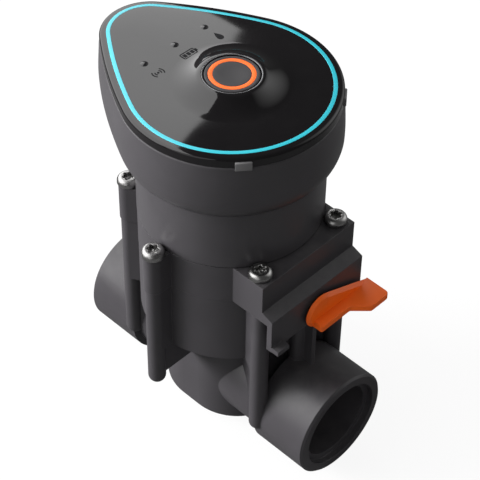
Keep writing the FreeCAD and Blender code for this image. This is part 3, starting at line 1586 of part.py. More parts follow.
NODES = [
    valve_body(),
    bonnet(),
    bonnet_screws(),
    diaphragm(),
    diaphragm_plate(),
    valve_guide(),
    valve_bolt(),
    diaphragm_spring(),
    solenoid_tube(),
    solenoid_screws(),
    solenoid_seal(),
    fixed_core(),
    plunger(),
    plunger_seal(),
    plunger_spring(),
    coil_bobbin(),
    coil_winding(),
    coil_frame(),
    coil_nut(),
    contact_post(),
    post_screws(),
    contact_pins(),
    coil_leads(),
    contact_socket(),
    housing(),
    housing_screws(),
    housing_seal(),
    lid(),
    cyan_trim(),
    lid_seal(),
    button_bezel(),
    button(),
    button_ring(),
    button_boot(),
    tact_switch(),
    switch_key(),
    circuit_board(),
    board_screws(),
    leds(),
    light_guides(),
    battery(),
    battery_clip(),
    battery_holder(),
    release_catch("release_catch_left", 1),
    release_catch("release_catch_right", -1),
    lever(),
    lever_spindle(),
    spindle_seal(),
    spindle_clip(),
]

document.recompute()
for item in document.Objects:
    if "Invalid" in item.State or "Error" in item.State:
        raise RuntimeError("%s failed: %s" % (item.Name, item.State))
for node in NODES:
    if node.Shape.isNull() or not node.Shape.isValid() or not node.Shape.Solids:
        raise RuntimeError("%s has no valid shape" % node.Label)
for node in NODES:
    node.Shape.exportStep("parts/%s.step" % node.Label)
    size = node.Shape.BoundBox
    print("%-22s %2d solids %9.1f mm3" % (node.Label, len(node.Shape.Solids), node.Shape.Volume),
          "x %.1f..%.1f y %.1f..%.1f z %.1f..%.1f" % (size.XMin, size.XMax, size.YMin, size.YMax,
                                                      size.ZMin, size.ZMax))
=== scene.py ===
import json
import math

import bpy
import mathutils
import numpy as np
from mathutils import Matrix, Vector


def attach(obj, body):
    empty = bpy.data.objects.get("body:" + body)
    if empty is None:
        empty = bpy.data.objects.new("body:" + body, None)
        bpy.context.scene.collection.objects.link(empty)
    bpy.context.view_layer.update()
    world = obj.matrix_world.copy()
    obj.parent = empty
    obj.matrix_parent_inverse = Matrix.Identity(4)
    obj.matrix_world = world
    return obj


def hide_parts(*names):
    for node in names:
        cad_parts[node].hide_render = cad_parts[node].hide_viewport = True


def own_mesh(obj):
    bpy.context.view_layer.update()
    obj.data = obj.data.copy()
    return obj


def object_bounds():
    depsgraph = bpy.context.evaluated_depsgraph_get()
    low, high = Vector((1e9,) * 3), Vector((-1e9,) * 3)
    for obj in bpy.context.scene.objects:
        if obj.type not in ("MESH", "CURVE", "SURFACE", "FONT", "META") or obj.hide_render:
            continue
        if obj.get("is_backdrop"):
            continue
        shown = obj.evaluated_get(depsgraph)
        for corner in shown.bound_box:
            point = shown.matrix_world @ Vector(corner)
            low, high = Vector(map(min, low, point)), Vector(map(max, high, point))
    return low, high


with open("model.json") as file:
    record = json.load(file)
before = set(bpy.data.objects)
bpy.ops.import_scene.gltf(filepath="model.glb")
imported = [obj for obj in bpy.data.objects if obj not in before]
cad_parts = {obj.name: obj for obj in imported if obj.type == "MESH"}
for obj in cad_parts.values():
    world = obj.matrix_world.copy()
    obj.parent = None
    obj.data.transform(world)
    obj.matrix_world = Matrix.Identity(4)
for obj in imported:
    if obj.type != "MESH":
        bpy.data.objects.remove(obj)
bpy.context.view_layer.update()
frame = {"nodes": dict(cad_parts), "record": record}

bl_info = {
    "name": "Irrigation valve dressing",
    "version": (1, 0, 0),
    "blender": (4, 5, 0),
    "location": "View3D > Sidebar > Valve",
    "description": "Builds the visible pieces, finishes and stage of a battery irrigation valve",
    "category": "Object",
}

MM = 0.001
AXIS_X = 0.0524
SEAM_Z = 0.1248
AXIS_FOOT = (AXIS_X, 0.0, 0.0)
UP = (0.0, 0.0, 1.0)


# Grids and shells

def ring_faces(rows, columns, join_rows):
    """Each face joins a point, its neighbour round the ring and the same two one row on."""
    row, column = np.meshgrid(np.arange(rows if join_rows else rows - 1), np.arange(columns),
                              indexing="ij")
    next_row, next_column = (row + 1) % rows, (column + 1) % columns
    corners = [row * columns + column, row * columns + next_column,
               next_row * columns + next_column, next_row * columns + column]
    return np.stack(corners, axis=-1).reshape(-1, 4)


def outward(points, quads, fans):
    """The faces turned so that the volume summed over the quads, seen from the points'
    middle, is positive."""
    middle = points.mean(axis=0)
    corner = [points[quads[:, number]] - middle for number in range(4)]
    volume = sum(np.einsum("ij,ij->i", corner[0], np.cross(corner[a], corner[a + 1])).sum()
                 for a in (1, 2))
    if volume < 0:
        quads, fans = quads[:, ::-1], fans[:, ::-1]
    return points, quads, fans


def shell(grid, ends="join"):
    """A closed shell over a grid of rings: its end rings are joined to each other, or each
    closes in a fan of triangles round its middle."""
    rows, columns = grid.shape[:2]
    points = grid.reshape(-1, 3)
    fans = np.empty((0, 3), dtype=int)
    if ends == "fan":
        around = np.arange(columns)
        following = (around + 1) % columns
        last = (rows - 1) * columns
        points = np.vstack([points, grid[0].mean(axis=0), grid[-1].mean(axis=0)])
        start = np.full(columns, rows * columns)
        fans = np.vstack([np.stack([following, around, start], axis=1),
                          np.stack([last + around, last + following, start + 1], axis=1)])
    return outward(points, ring_faces(rows, columns, ends == "join"), fans)


def rounded(corners, steps=5, closed=True):
    """A profile whose corners turn in arcs. Each corner is a point and a radius: the arc
    starts and ends at the radius over the tangent of half the corner's angle."""
    places = np.array([corner[:2] for corner in corners], dtype=float)
    count = len(corners)
    profile = []
    for number, corner in enumerate(corners):
        here = places[number]
        radius = corner[2] if len(corner) > 2 else 0.0
        if radius <= 0 or (not closed and number in (0, count - 1)):
            profile.append(here)
            continue
        before = places[number - 1] - here
        after = places[(number + 1) % count] - here
        before /= np.linalg.norm(before)
        after /= np.linalg.norm(after)
        half = math.acos(max(-1.0, min(1.0, float(before @ after)))) / 2
        middle = here + (before + after) / np.linalg.norm(before + after) * radius / math.sin(half)
        first = here + before * radius / math.tan(half) - middle
        last = here + after * radius / math.tan(half) - middle
        sweep = math.acos(max(-1.0, min(1.0, float(first @ last) / radius ** 2)))
        for share in np.linspace(0, 1, steps + 1):
            weight = np.array([math.sin((1 - share) * sweep), math.sin(share * sweep)])
            profile.append(middle + (first * weight[0] + last * weight[1]) / math.sin(sweep))
    return np.array(profile)


def around_axis(radius, angle, height):
    """Points about an upright axis: radius times cosine and sine of the angle, and a height.
    The radius and the height are each one number or one for every angle."""
    return np.stack([radius * np.cos(angle), radius * np.sin(angle),
                     np.broadcast_to(height, angle.shape)], axis=-1)


def lathe(profile, centre=AXIS_FOOT, columns=144, axis="Z"):
    """Rings of a profile of radius and height about an axis through the centre."""
    angle = np.linspace(0, 2 * math.pi, columns, endpoint=False)
    grid = np.stack([around_axis(radius, angle, height) for radius, height in profile])
    if axis == "X":
        grid = grid[..., [2, 0, 1]]
    return grid + np.array(centre)


def turned(grid, turn):
    """A grid of points turned about the upright axis through the origin."""
    x, y, z = grid[..., 0], grid[..., 1], grid[..., 2]
    return np.stack([x * math.cos(turn) - y * math.sin(turn),
                     x * math.sin(turn) + y * math.cos(turn), z], axis=-1)


def place_object(name, data):
    item = bpy.data.objects.new(name, data)
    bpy.context.scene.collection.objects.link(item)
    return item


def build(name, shells, finish, body, replaced=(), slot=None, sharp=32.0):
    """Puts shells into one mesh, smooth except where faces meet at more than an angle. The
    slot argument is not used."""
    points, faces, start = [], [], 0
    for part, quads, fans in shells:
        points.append(part)
        faces += (quads + start).tolist() + (fans + start).tolist()
        start += len(part)
    mesh = bpy.data.meshes.new(name)
    mesh.from_pydata(np.vstack(points).tolist(), [], faces)
    mesh.polygons.foreach_set("use_smooth", np.ones(len(mesh.polygons), dtype=bool))
    mesh.set_sharp_from_angle(angle=math.radians(sharp))
    mesh.update()
    piece = place_object(name, mesh)
    mesh.materials.append(MATERIALS[finish])
    slot = slot or finish
    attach(piece, body)
    if replaced:
        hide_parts(*replaced)
    return piece


# Egg outline of the head

EGG_LEVELS = np.array([
    # drop below the rim, wide radius, narrow end behind the axis, narrow radius, in mm
    [0.0, 38.4, 39.65, 17.9],
    [7.0, 38.85, 40.2, 18.0],
    [14.0, 39.15, 40.6, 18.0],
    [20.3, 38.85, 40.2, 17.8],
    [21.6, 38.2, 39.0, 17.0],
    [34.5, 25.3, 8.8, 24.6],
]) * MM
RIM, RIM_RADIUS = EGG_LEVELS[0], EGG_LEVELS[0, 1]
WIDE_CENTRE = 0.6 * MM
FLANK = 181.0 * MM
RIM_COLUMNS = 384
CATCH_ANGLE = math.radians(39.7)
NOTCH_HALF = 2.9 * MM


def egg_points(level, inset, count=2880):
    """The outline by its normal's angle: a wide arc, two long flank arcs and a narrow arc,
    each point its arc's centre plus the radius less the inset, along the normal."""
    wide, back, narrow = level[1:]
    wide_x, narrow_x = -WIDE_CENTRE, -back
    span = wide_x - narrow_x
    to_wide, to_narrow = FLANK - wide, FLANK - narrow
    flank_x = narrow_x + (span ** 2 + to_narrow ** 2 - to_wide ** 2) / (2 * span)
    flank_y = -math.sqrt(to_narrow ** 2 - (flank_x - narrow_x) ** 2)
    wide_end = math.atan2(-flank_y, wide_x - flank_x)
    narrow_end = math.atan2(-flank_y, narrow_x - flank_x)
    normal = np.linspace(-math.pi, math.pi, count, endpoint=False)
    turn = np.abs(normal)
    side = np.sign(normal)
    on_wide, on_narrow = turn < wide_end, turn > narrow_end
    x = np.where(on_wide, wide_x, np.where(on_narrow, narrow_x, flank_x))
    y = np.where(on_wide | on_narrow, 0.0, flank_y * side)
    radius = np.where(on_wide, wide, np.where(on_narrow, narrow, FLANK)) - inset
    return np.stack([x + radius * np.cos(normal), y + radius * np.sin(normal)], axis=1)


def reach(level, inset, angle):
    """The outline's distance from the upright axis at each polar angle."""
    outline = egg_points(level, inset)
    found = np.arctan2(outline[:, 1], outline[:, 0])
    order = np.argsort(found)
    distance = np.hypot(outline[:, 0], outline[:, 1])[order]
    return np.interp(angle, found[order], distance, period=2 * math.pi)


def head_angles():
    """Polar angles that step evenly along the rim, with two close together at each side of
    each catch's notch, and a mask of those that lie in a notch."""
    outline = egg_points(RIM, 0.0)
    closed = np.vstack([outline, outline[:1]])
    walked = np.concatenate([[0], np.cumsum(np.linalg.norm(np.diff(closed, axis=0), axis=1))])
    even = np.linspace(0, walked[-1], RIM_COLUMNS, endpoint=False)
    angle = np.arctan2(np.interp(even, walked, closed[:, 1]), np.interp(even, walked, closed[:, 0]))
    clear, apart = 0.006, 0.00001
    edges = []
    for middle in (-CATCH_ANGLE, CATCH_ANGLE):
        for side in (-1, 1):
            edge = middle + side * NOTCH_HALF / RIM_RADIUS
            near = np.abs((angle - edge + math.pi) % (2 * math.pi) - math.pi)
            angle = angle[near > clear]
            edges += [edge - apart, edge + apart]
    angle = np.sort(np.concatenate([angle, edges]))
    return angle, np.abs(np.abs(angle) - CATCH_ANGLE) < NOTCH_HALF / RIM_RADIUS


def head_grid(rows, angle):
    """Rings about the body's axis, each from a distance and a height."""
    return np.stack([around_axis(distance, angle, height) for distance, height in rows]) + AXIS_FOOT


# Shader nodes

def feed(tree, node, values):
    """Links each named input to another node's output, or sets its value."""
    for key, value in values.items():
        if isinstance(value, bpy.types.NodeSocket):
            tree.links.new(value, node.inputs[key])
        else:
            node.inputs[key].default_value = value


def put(tree, kind, values=None, **properties):
    """A node with some of its properties set, and its inputs fed by name."""
    node = tree.nodes.new(kind)
    for key, value in properties.items():
        setattr(node, key, value)
    feed(tree, node, values or {})
    return node


def sum_of(tree, operation, first, second=0.0, third=0.0):
    node = put(tree, "ShaderNodeMath", {0: first, 1: second, 2: third}, operation=operation)
    return node.outputs[0]


def ramp(tree, value, low, high, to_low=0.0, to_high=1.0):
    node = put(tree, "ShaderNodeMapRange", {"Value": value, "From Min": low, "From Max": high,
                                            "To Min": to_low, "To Max": to_high})
    return node.outputs["Result"]


def place_of(tree, centre=AXIS_FOOT, scale=(1.0, 1.0, 1.0)):
    """Object coordinates moved so that a point of the object is their origin."""
    texture = put(tree, "ShaderNodeTexCoord")
    shift = tuple(-value * size for value, size in zip(centre, scale))
    mapping = put(tree, "ShaderNodeMapping", {"Vector": texture.outputs["Object"],
                                              "Location": shift, "Scale": scale})
    return mapping.outputs["Vector"]


def noise(tree, place, scale, detail, roughness=0.5):
    node = put(tree, "ShaderNodeTexNoise", {"Vector": place, "Scale": scale, "Detail": detail,
                                            "Roughness": roughness})
    return node.outputs["Fac"]


def mixed(tree, mask, first, second):
    """A colour between two, each a colour or a socket."""
    return put(tree, "ShaderNodeMix", {0: mask, 6: first, 7: second}, data_type="RGBA").outputs[2]


def bumped(tree, height, strength, distance, normal=None):
    values = {"Height": height, "Strength": strength, "Distance": distance}
    if normal is not None:
        values["Normal"] = normal
    return put(tree, "ShaderNodeBump", values).outputs["Normal"]


def group_tree(name, inputs, outputs):
    tree = bpy.data.node_groups.new(name, "ShaderNodeTree")
    for label, default in inputs.items():
        tree.interface.new_socket(label, in_out="INPUT",
                                  socket_type="NodeSocketFloat").default_value = default
    for label, kind in outputs.items():
        tree.interface.new_socket(label, in_out="OUTPUT", socket_type="NodeSocket" + kind)
    return tree, tree.nodes.new("NodeGroupInput"), tree.nodes.new("NodeGroupOutput")


def use_group(tree, make, **values):
    """A node of the group with its maker's name, which is made the first time."""
    name = make.__name__
    node = put(tree, "ShaderNodeGroup", node_tree=bpy.data.node_groups.get(name) or make(name))
    feed(tree, node, {key.replace("_", " "): value for key, value in values.items()})
    return node.outputs


def moulded_grain(name):
    """Fine moulded grain: two sizes of noise, summed to a height, and a slow patchy tint."""
    tree, source, target = group_tree(name, {"Grain Scale": 2600.0, "Patch Scale": 70.0},
                                      {"Height": "Float", "Patch": "Float"})
    place = place_of(tree)
    fine = noise(tree, place, source.outputs[0], 2.0, 0.6)
    coarse = noise(tree, place, sum_of(tree, "MULTIPLY", source.outputs[0], 0.37), 1.0)
    slow = noise(tree, place, source.outputs[1], 3.0, 0.55)
    both = sum_of(tree, "ADD", fine, coarse)
    feed(tree, target, {"Height": sum_of(tree, "MULTIPLY", both, 0.5),
                        "Patch": ramp(tree, slow, 0.3, 0.7)})
    return tree


def edge_wear(name):
    """Rubbed edges: one less the dot product of the surface normal and the normal rounded
    over a radius, broken up by noise. The rounded normal comes out too."""
    tree, source, target = group_tree(name, {"Radius": 0.0004, "Amount": 1.0},
                                      {"Mask": "Float", "Normal": "Vector"})
    soft = put(tree, "ShaderNodeBevel", {"Radius": source.outputs["Radius"]}, samples=4)
    plain = put(tree, "ShaderNodeNewGeometry")
    dot = put(tree, "ShaderNodeVectorMath", {0: soft.outputs["Normal"],
                                             1: plain.outputs["Normal"]}, operation="DOT_PRODUCT")
    bend = sum_of(tree, "SUBTRACT", 1.0, dot.outputs["Value"])
    broken = ramp(tree, noise(tree, place_of(tree), 420.0, 3.0), 0.35, 0.65)
    mask = sum_of(tree, "MULTIPLY", ramp(tree, bend, 0.02, 0.25), broken)
    feed(tree, target, {"Mask": sum_of(tree, "MULTIPLY", mask, source.outputs["Amount"]),
                        "Normal": soft.outputs["Normal"]})
    return tree


def resting_dust(name):
    """Dust on faces that look up: the object-space normal's height, times clouded noise."""
    tree, source, target = group_tree(name, {"Amount": 0.1}, {"Mask": "Float"})
    facing = put(tree, "ShaderNodeSeparateXYZ",
                 {"Vector": put(tree, "ShaderNodeTexCoord").outputs["Normal"]})
    cloud = noise(tree, place_of(tree), 160.0, 4.0, 0.7)
    up = ramp(tree, facing.outputs["Z"], 0.35, 1.0)
    mask = sum_of(tree, "MULTIPLY", up, ramp(tree, cloud, 0.4, 0.75))
    feed(tree, target, {"Mask": sum_of(tree, "MULTIPLY", mask, source.outputs["Amount"])})
    return tree


# Finishes

MATERIALS = {}
PLASTIC_IOR = 1.5
DUST_COLOUR = (0.30, 0.29, 0.27, 1.0)
GLOSS_DUST_COLOUR = (0.34, 0.33, 0.31, 1.0)
COPPER_BAND = (0.42, 0.20, 0.08, 1.0)


def shade(colour, factor):
    return tuple(min(1.0, channel * factor) for channel in colour[:3]) + (1.0,)


def start_material(name):
    material = bpy.data.materials.new(name)
    material.use_nodes = True
    MATERIALS[name] = material
    return material.node_tree, material.node_tree.nodes["Principled BSDF"]


def moulded(name, colour, roughness, grain=2600.0, depth=0.02, wear=0.5, dust=0.06, edge=0.0004):
    """Moulded plastic: patchy tint, fine grain, paler rubbed edges and a little dust."""
    tree, shader = start_material(name)
    texture = use_group(tree, moulded_grain, Grain_Scale=grain)
    rubbed = use_group(tree, edge_wear, Radius=edge, Amount=wear)
    dusty = use_group(tree, resting_dust, Amount=dust)["Mask"]
    patch, spread = texture["Patch"], 0.04
    tint = mixed(tree, patch, shade(colour, 0.93), shade(colour, 1.07))
    worn = mixed(tree, rubbed["Mask"], tint, shade(colour, 1.9))
    base = ramp(tree, patch, 0.0, 1.0, roughness - spread, roughness + spread)
    normal = bumped(tree, texture["Height"], 0.25, depth * MM, rubbed["Normal"])
    feed(tree, shader, {"Base Color": mixed(tree, dusty, worn, DUST_COLOUR),
                        "Roughness": sum_of(tree, "MULTIPLY_ADD", dusty, 0.6, base),
                        "Normal": normal, "IOR": PLASTIC_IOR})
    return tree, shader, normal


def polished(name, colour, roughness, dust=0.02):
    """Polished plastic: a faint haze in patches, hair scratches in its roughness, dust."""
    tree, shader = start_material(name)
    texture = use_group(tree, moulded_grain, Grain_Scale=900.0, Patch_Scale=45.0)
    dusty = use_group(tree, resting_dust, Amount=dust)["Mask"]
    hair = noise(tree, place_of(tree, scale=(1.0, 9.0, 1.0)), 520.0, 5.0, 0.7)
    line = ramp(tree, hair, 0.62, 0.75, 0.0, 0.03)
    base = ramp(tree, texture["Patch"], 0.0, 1.0, roughness * 0.85, roughness * 1.15)
    tint = mixed(tree, texture["Patch"], shade(colour, 0.95), shade(colour, 1.05))
    feed(tree, shader, {"Base Color": mixed(tree, dusty, tint, GLOSS_DUST_COLOUR),
                        "Roughness": sum_of(tree, "ADD", base, line),
                        "Normal": bumped(tree, texture["Height"], 0.05, 0.004 * MM),
                        "IOR": PLASTIC_IOR})


def metal(name, colour, roughness, wound=False):
    """Metal with fine tool marks: rings round the upright axis, or a winding's bands along
    it, a roughness that varies in patches, and painted shade: nearly black where little is seen
    around."""
    tree, shader = start_material(name)
    texture = use_group(tree, moulded_grain, Grain_Scale=1800.0, Patch_Scale=240.0)
    rubbed = use_group(tree, edge_wear, Radius=0.00015, Amount=0.8)
    kind = {"wave_type": "BANDS", "bands_direction": "Z"} if wound else \
        {"wave_type": "RINGS", "rings_direction": "Z"}
    depth = 0.12 * MM if wound else 0.02 * MM
    wave = put(tree, "ShaderNodeTexWave", {"Vector": place_of(tree), "Scale": 900.0,
                                           "Distortion": 0.6, "Detail": 1.0}, **kind)
    tint = mixed(tree, texture["Patch"], shade(colour, 0.86), shade(colour, 1.08))
    worn = mixed(tree, rubbed["Mask"], tint, shade(colour, 1.3))
    # Painted shade: ambient occlusion turns the base colour nearly black in recesses and creases.
    painted_shade_occlusion = put(tree, "ShaderNodeAmbientOcclusion", {"Distance": 1.5 * MM}, samples=8)
    seen = ramp(tree, painted_shade_occlusion.outputs["AO"], 0.3, 0.8)
    feed(tree, shader, {"Base Color": mixed(tree, seen, shade(colour, 0.05), worn),
                        "Roughness": ramp(tree, texture["Patch"], 0.0, 1.0, roughness * 0.75,
                                          roughness * 1.25),
                        "Normal": bumped(tree, wave.outputs["Fac"], 0.3, depth, rubbed["Normal"]),
                        "Metallic": 1.0})


def board_finish(name, colour):
    """Solder mask over copper runs: the bricks of a wall, joined by paler lines."""
    tree, shader, normal = moulded(name, colour, 0.32, wear=0.0, dust=0.0)
    tracks = put(tree, "ShaderNodeTexBrick", {
        "Vector": place_of(tree, (AXIS_X, 0.0, 0.12)), "Color1": shade(colour, 0.8),
        "Color2": shade(colour, 1.0), "Mortar": shade(colour, 1.9), "Scale": 60.0,
        "Mortar Size": 0.03, "Bias": 0.2, "Brick Width": 0.8, "Row Height": 0.16}).outputs
    feed(tree, shader, {"Base Color": tracks["Color"],
                        "Normal": bumped(tree, tracks["Fac"], 0.4, 0.05 * MM, normal)})


def battery_finish(name, colour):
    """A printed can: a dark jacket with a copper-toned band at its terminal end."""
    tree, shader, _ = moulded(name, colour, 0.28, grain=1400.0, wear=0.6, dust=0.0)
    part = put(tree, "ShaderNodeSeparateXYZ", {"Vector": place_of(tree, (0.0, 0.0, 0.0))})
    band = sum_of(tree, "LESS_THAN", part.outputs[0], 36.0 * MM)
    feed(tree, shader, {"Base Color": mixed(tree, band, shade(colour, 1.0), COPPER_BAND),
                        "Metallic": sum_of(tree, "MULTIPLY", band, 0.6)})


def make_finishes(settings):
    """One material for each of the record's slots, and two for pieces built here."""
    moulded("body_plastic", settings.body_colour, settings.body_roughness)
    moulded("housing_plastic", settings.housing_colour, settings.housing_roughness, wear=0.3)
    polished("lid_gloss", settings.lid_colour, settings.lid_roughness, dust=0.003)
    polished("cyan_plastic", settings.cyan_colour, 0.22)
    moulded("orange_plastic", settings.orange_colour, 0.42, wear=0.0, dust=0.02, edge=0.00001)
    fine = {"grain": 3400.0, "depth": 0.03, "wear": 0.2, "dust": 0.02}
    moulded("button_plastic", settings.button_colour, 0.55, **fine)
    moulded("catch_grey", settings.catch_colour, 0.5, **fine)
    metal("bright_trim", (0.16, 0.16, 0.165), 0.25)
    polished("clear_plastic", (0.012, 0.012, 0.013), 0.07, dust=0.0)
    moulded("white_plastic", (0.72, 0.72, 0.70), 0.45, wear=0.0)
    metal("screw_steel", settings.steel_colour, 0.30)
    moulded("rubber_black", (0.02, 0.02, 0.02), 0.75, grain=1500.0, depth=0.04, wear=0.3)
    metal("magnet_steel", (0.56, 0.57, 0.58), 0.34)
    metal("copper_wire", (0.70, 0.32, 0.16), 0.30, wound=True)
    metal("brass_metal", (0.78, 0.60, 0.28), 0.26)
    board_finish("board_green", (0.02, 0.16, 0.07))
    battery_finish("battery_metal", (0.10, 0.11, 0.13))
    moulded("holder_plastic", (0.08, 0.08, 0.085), 0.5)
    shader = moulded("lid_print", (0.008, 0.008, 0.009), 0.7, grain=4000.0, wear=0.0, dust=0.0)[1]
    shader.inputs["Specular IOR Level"].default_value = 0.15
    for entry in frame["record"]["subparts"]:
        piece = frame["nodes"][entry["node"]]
        finish = MATERIALS[entry["material_slot"]]
        if not piece.material_slots:
            piece.data.materials.append(finish)
        for slot in piece.material_slots:
            slot.material = finish


# Pieces

def make_housing(settings):
    """The upright wall's reach is one cubic of the drop below the rim, through four sections.
    A quadratic curve turns it into the underside, a straight slope from the hem towards the
    foot, which ends where it reaches the round neck. The inner side is the same a wall in."""
    angle, notched = head_angles()
    drops = EGG_LEVELS[:, 0]
    radii = np.array([reach(level, 0.0, angle) for level in EGG_LEVELS])
    top, wall, neck, base = SEAM_Z, settings.wall, settings.neck_radius, settings.base_height
    floor_hole, edge, notch_foot, notch_skin = 19.0 * MM, 0.45 * MM, 1.0 * MM, 0.3 * MM

    def outer(drop):
        """Lagrange's cubic through the rim, shoulder, belly and waist."""
        total = np.zeros(len(angle))
        for here in range(4):
            weight = 1.0
            for other in range(4):
                if other != here:
                    weight *= (drop - drops[other]) / (drops[here] - drops[other])
            total += weight * radii[here]
        return total

    def slope(share, start, end):
        """A point of a straight run between two pairs of reach and drop."""
        return start[0] + (end[0] - start[0]) * share, start[1] + (end[1] - start[1]) * share

    turn_from = drops[3] - settings.hem_turn
    corner = ((outer(drops[3]) + radii[4]) / 2, (drops[3] + drops[4]) / 2)
    foot = (radii[5], drops[5])
    run = np.hypot(foot[0] - corner[0], foot[1] - corner[1])
    leave = np.minimum((corner[0] - neck) / (corner[0] - foot[0]), 1.0)
    turn_to = np.minimum(settings.hem_turn / run, leave * 0.6)
    joint = slope(leave, corner, foot)[1]
    rows = [(floor_hole, base), (neck - edge, base), (neck, base + edge)]
    for share in np.linspace(0.2, 1.0, 6):
        rows.append((neck, base + edge + (top - joint - base - edge) * share))
    for share in np.linspace(1.0, 0.0, 12)[1:]:
        distance, drop = slope(turn_to + (leave - turn_to) * share, corner, foot)
        rows.append((distance, top - drop))
    under = slope(turn_to, corner, foot)
    upper = (outer(turn_from), turn_from)
    for share in np.linspace(0.0, 1.0, 16)[1:]:
        parts = ((1 - share) ** 2, 2 * share * (1 - share), share ** 2)
        distance, drop = (sum(part * point[number] for part, point in
                              zip(parts, (under, corner, upper))) for number in range(2))
        rows.append((distance, top - drop))
    for drop in np.linspace(turn_from, notch_foot, 24)[1:]:
        rows.append((outer(drop), top - drop))
    depth = np.where(notched, wall - notch_skin, 0.0)
    rows.append((outer(notch_foot) - depth, top - notch_foot + 1e-6))
    for turn in np.linspace(0.0, math.pi / 2, 5):
        inset = edge * (1 - math.cos(turn))
        rows.append((outer(0.0) - np.where(notched, depth, inset),
                     top - edge * (1 - math.sin(turn))))
    for drop in np.linspace(0.0, turn_from, 12):
        rows.append((outer(drop) - wall, top - drop))
    start, end = (radii[4] - wall, drops[4] - wall), (radii[5], drops[5] - wall)
    stop = np.minimum((start[0] - neck + wall) / (start[0] - end[0]), 1.0)
    for share in np.linspace(0.0, 1.0, 6):
        distance, drop = slope(share * stop, start, end)
        rows.append((distance, top - drop))
    rows += [(neck - wall, rows[-1][1] - 0.01 * MM), (neck - wall, base + wall),
             (floor_hole, base + wall)]
    return build("head_housing", [shell(head_grid(rows, angle))], "housing_plastic", "valve",
                 ["housing"])


def lid_height(inset_run, distance, settings):
    """The crown rises by one less an exponential of the distance in from the rim, and the
    mound lifts it to the plateau by a power of the way in from the mound's foot, with a
    smooth minimum where the flare meets the plateau."""
    risen = 1 - np.exp(-inset_run / settings.dome_run)
    crown = settings.crown_height + settings.dome_rise * risen
    foot, flat = settings.mound_radius, settings.plateau_radius
    flare = np.clip((foot - distance) / (foot - flat), 0.0, 1.6) ** settings.mound_power
    blend = 0.16
    share = np.minimum(flare, 1.0) - np.maximum(blend - np.abs(flare - 1.0), 0.0) ** 2 / (4 * blend)
    return crown + (settings.plateau_height - crown) * np.clip(share, 0.0, 1.0)


CROWN_INSET = 1.4 * MM


def lid_rows(angle, settings):
    """Rings of the lid's top from the crown's edge in to the bore: first the rim's outline
    drawn in, then a straight blend from that outline to the mound's circle, then circles.
    Each comes with its distance from the axis and its way in from the crown's edge."""
    turn_in = 12.0 * MM
    rings = []
    for inset in np.linspace(CROWN_INSET, turn_in, 26):
        rings.append((reach(RIM, inset, angle), np.full(len(angle), inset - CROWN_INSET)))
    last = rings[-1][0]
    circle = settings.mound_radius + 0.6 * MM
    gap = last - circle
    way_in = turn_in - CROWN_INSET
    for share in np.linspace(0.0, 1.0, 26)[1:]:
        rings.append((last - gap * share, way_in + gap * share))
    for radius in np.linspace(circle, settings.plateau_radius - 0.5 * MM, 56)[1:]:
        rings.append((np.full(len(angle), radius), way_in + gap + circle - radius))
    return rings


def make_lid(settings):
    """Rings of the wall with its notches, the rounded edge, the top, the bore, the underside
    and the spigot with its seal's groove, joined into one closed skin."""
    angle, notched = head_angles()
    skin, edge, notch_depth = 0.2 * MM, 1.2 * MM, 4.66 * MM
    wall_top, notch_roof = SEAM_Z + settings.wall_height, SEAM_Z + 2.8 * MM
    plateau, bore, bevel = settings.plateau_height, settings.bore_radius, 0.12 * MM
    step, under = plateau - 3.0 * MM, settings.crown_height - 2.2 * MM
    button_room, spigot_foot = 12.3 * MM, 119.8 * MM
    spigot_in, spigot_out, groove = 4.72 * MM, 2.9 * MM, 3.7 * MM

    def at(inset):
        return reach(RIM, inset, angle)

    def cut_at(inset):
        """The outline drawn in, but the notches' back where there is a notch."""
        return np.where(notched, at(notch_depth), at(inset))

    def edge_inset(height):
        return skin + edge - math.sqrt(edge ** 2 - (height - wall_top) ** 2)

    rows = [(cut_at(skin + 0.25 * MM), SEAM_Z + 0.02 * MM), (cut_at(skin), SEAM_Z + 0.27 * MM),
            (cut_at(skin), wall_top - 0.1 * MM), (cut_at(skin), wall_top + 0.01 * MM)]
    for height in np.linspace(wall_top, notch_roof, 3)[1:]:
        rows.append((cut_at(edge_inset(height)), height))
    rows.append((at(edge_inset(notch_roof)), notch_roof + 1e-6))
    start_turn = math.asin((notch_roof - wall_top) / edge)
    for turn in np.linspace(start_turn, math.pi / 2, 8)[1:-1]:
        rows.append((at(skin + edge * (1 - math.cos(turn))), wall_top + edge * math.sin(turn)))
    for distance, run in lid_rows(angle, settings):
        rows.append((distance, lid_height(run, distance, settings)))
    rows += [(bore + bevel, plateau), (bore, plateau - bevel), (bore, step), (button_room, step),
             (button_room, under), (at(spigot_in), under), (at(spigot_in), spigot_foot),
             (at(spigot_out + 0.3 * MM), spigot_foot), (at(spigot_out), spigot_foot + 0.3 * MM)]
    for inset, height in ((spigot_out, 120.7), (groove, 120.7), (groove, 122.5),
                          (spigot_out, 122.5), (spigot_out, 124.0)):
        rows.append((at(inset), height * MM))
    rows.append((cut_at(spigot_out), SEAM_Z + 0.01 * MM))
    return build("gloss_lid", [shell(head_grid(rows, angle))], "lid_gloss", "control_head",
                 ["lid"])


def make_band(settings):
    """The band's section stands a little proud of the lid's surface at its own distance in
    from the crown's edge, and runs round the rim's outline."""
    angle = head_angles()[0]
    half, proud, sunk = settings.band_width / 2, settings.band_proud, -0.5 * MM
    rows = []
    for offset, lift in ((-half, sunk), (-half, 0.0), (-half + proud, proud),
                         (-half / 2, proud * 1.2), (0.0, proud * 1.3), (half / 2, proud * 1.2),
                         (half - proud, proud), (half, 0.0), (half, sunk)):
        inset = settings.band_inset + offset
        distance = reach(RIM, inset, angle)
        rows.append((distance, lid_height(inset - CROWN_INSET, distance, settings) + lift))
    return build("cyan_band", [shell(head_grid(rows, angle))], "cyan_plastic", "control_head",
                 ["cyan_trim"])


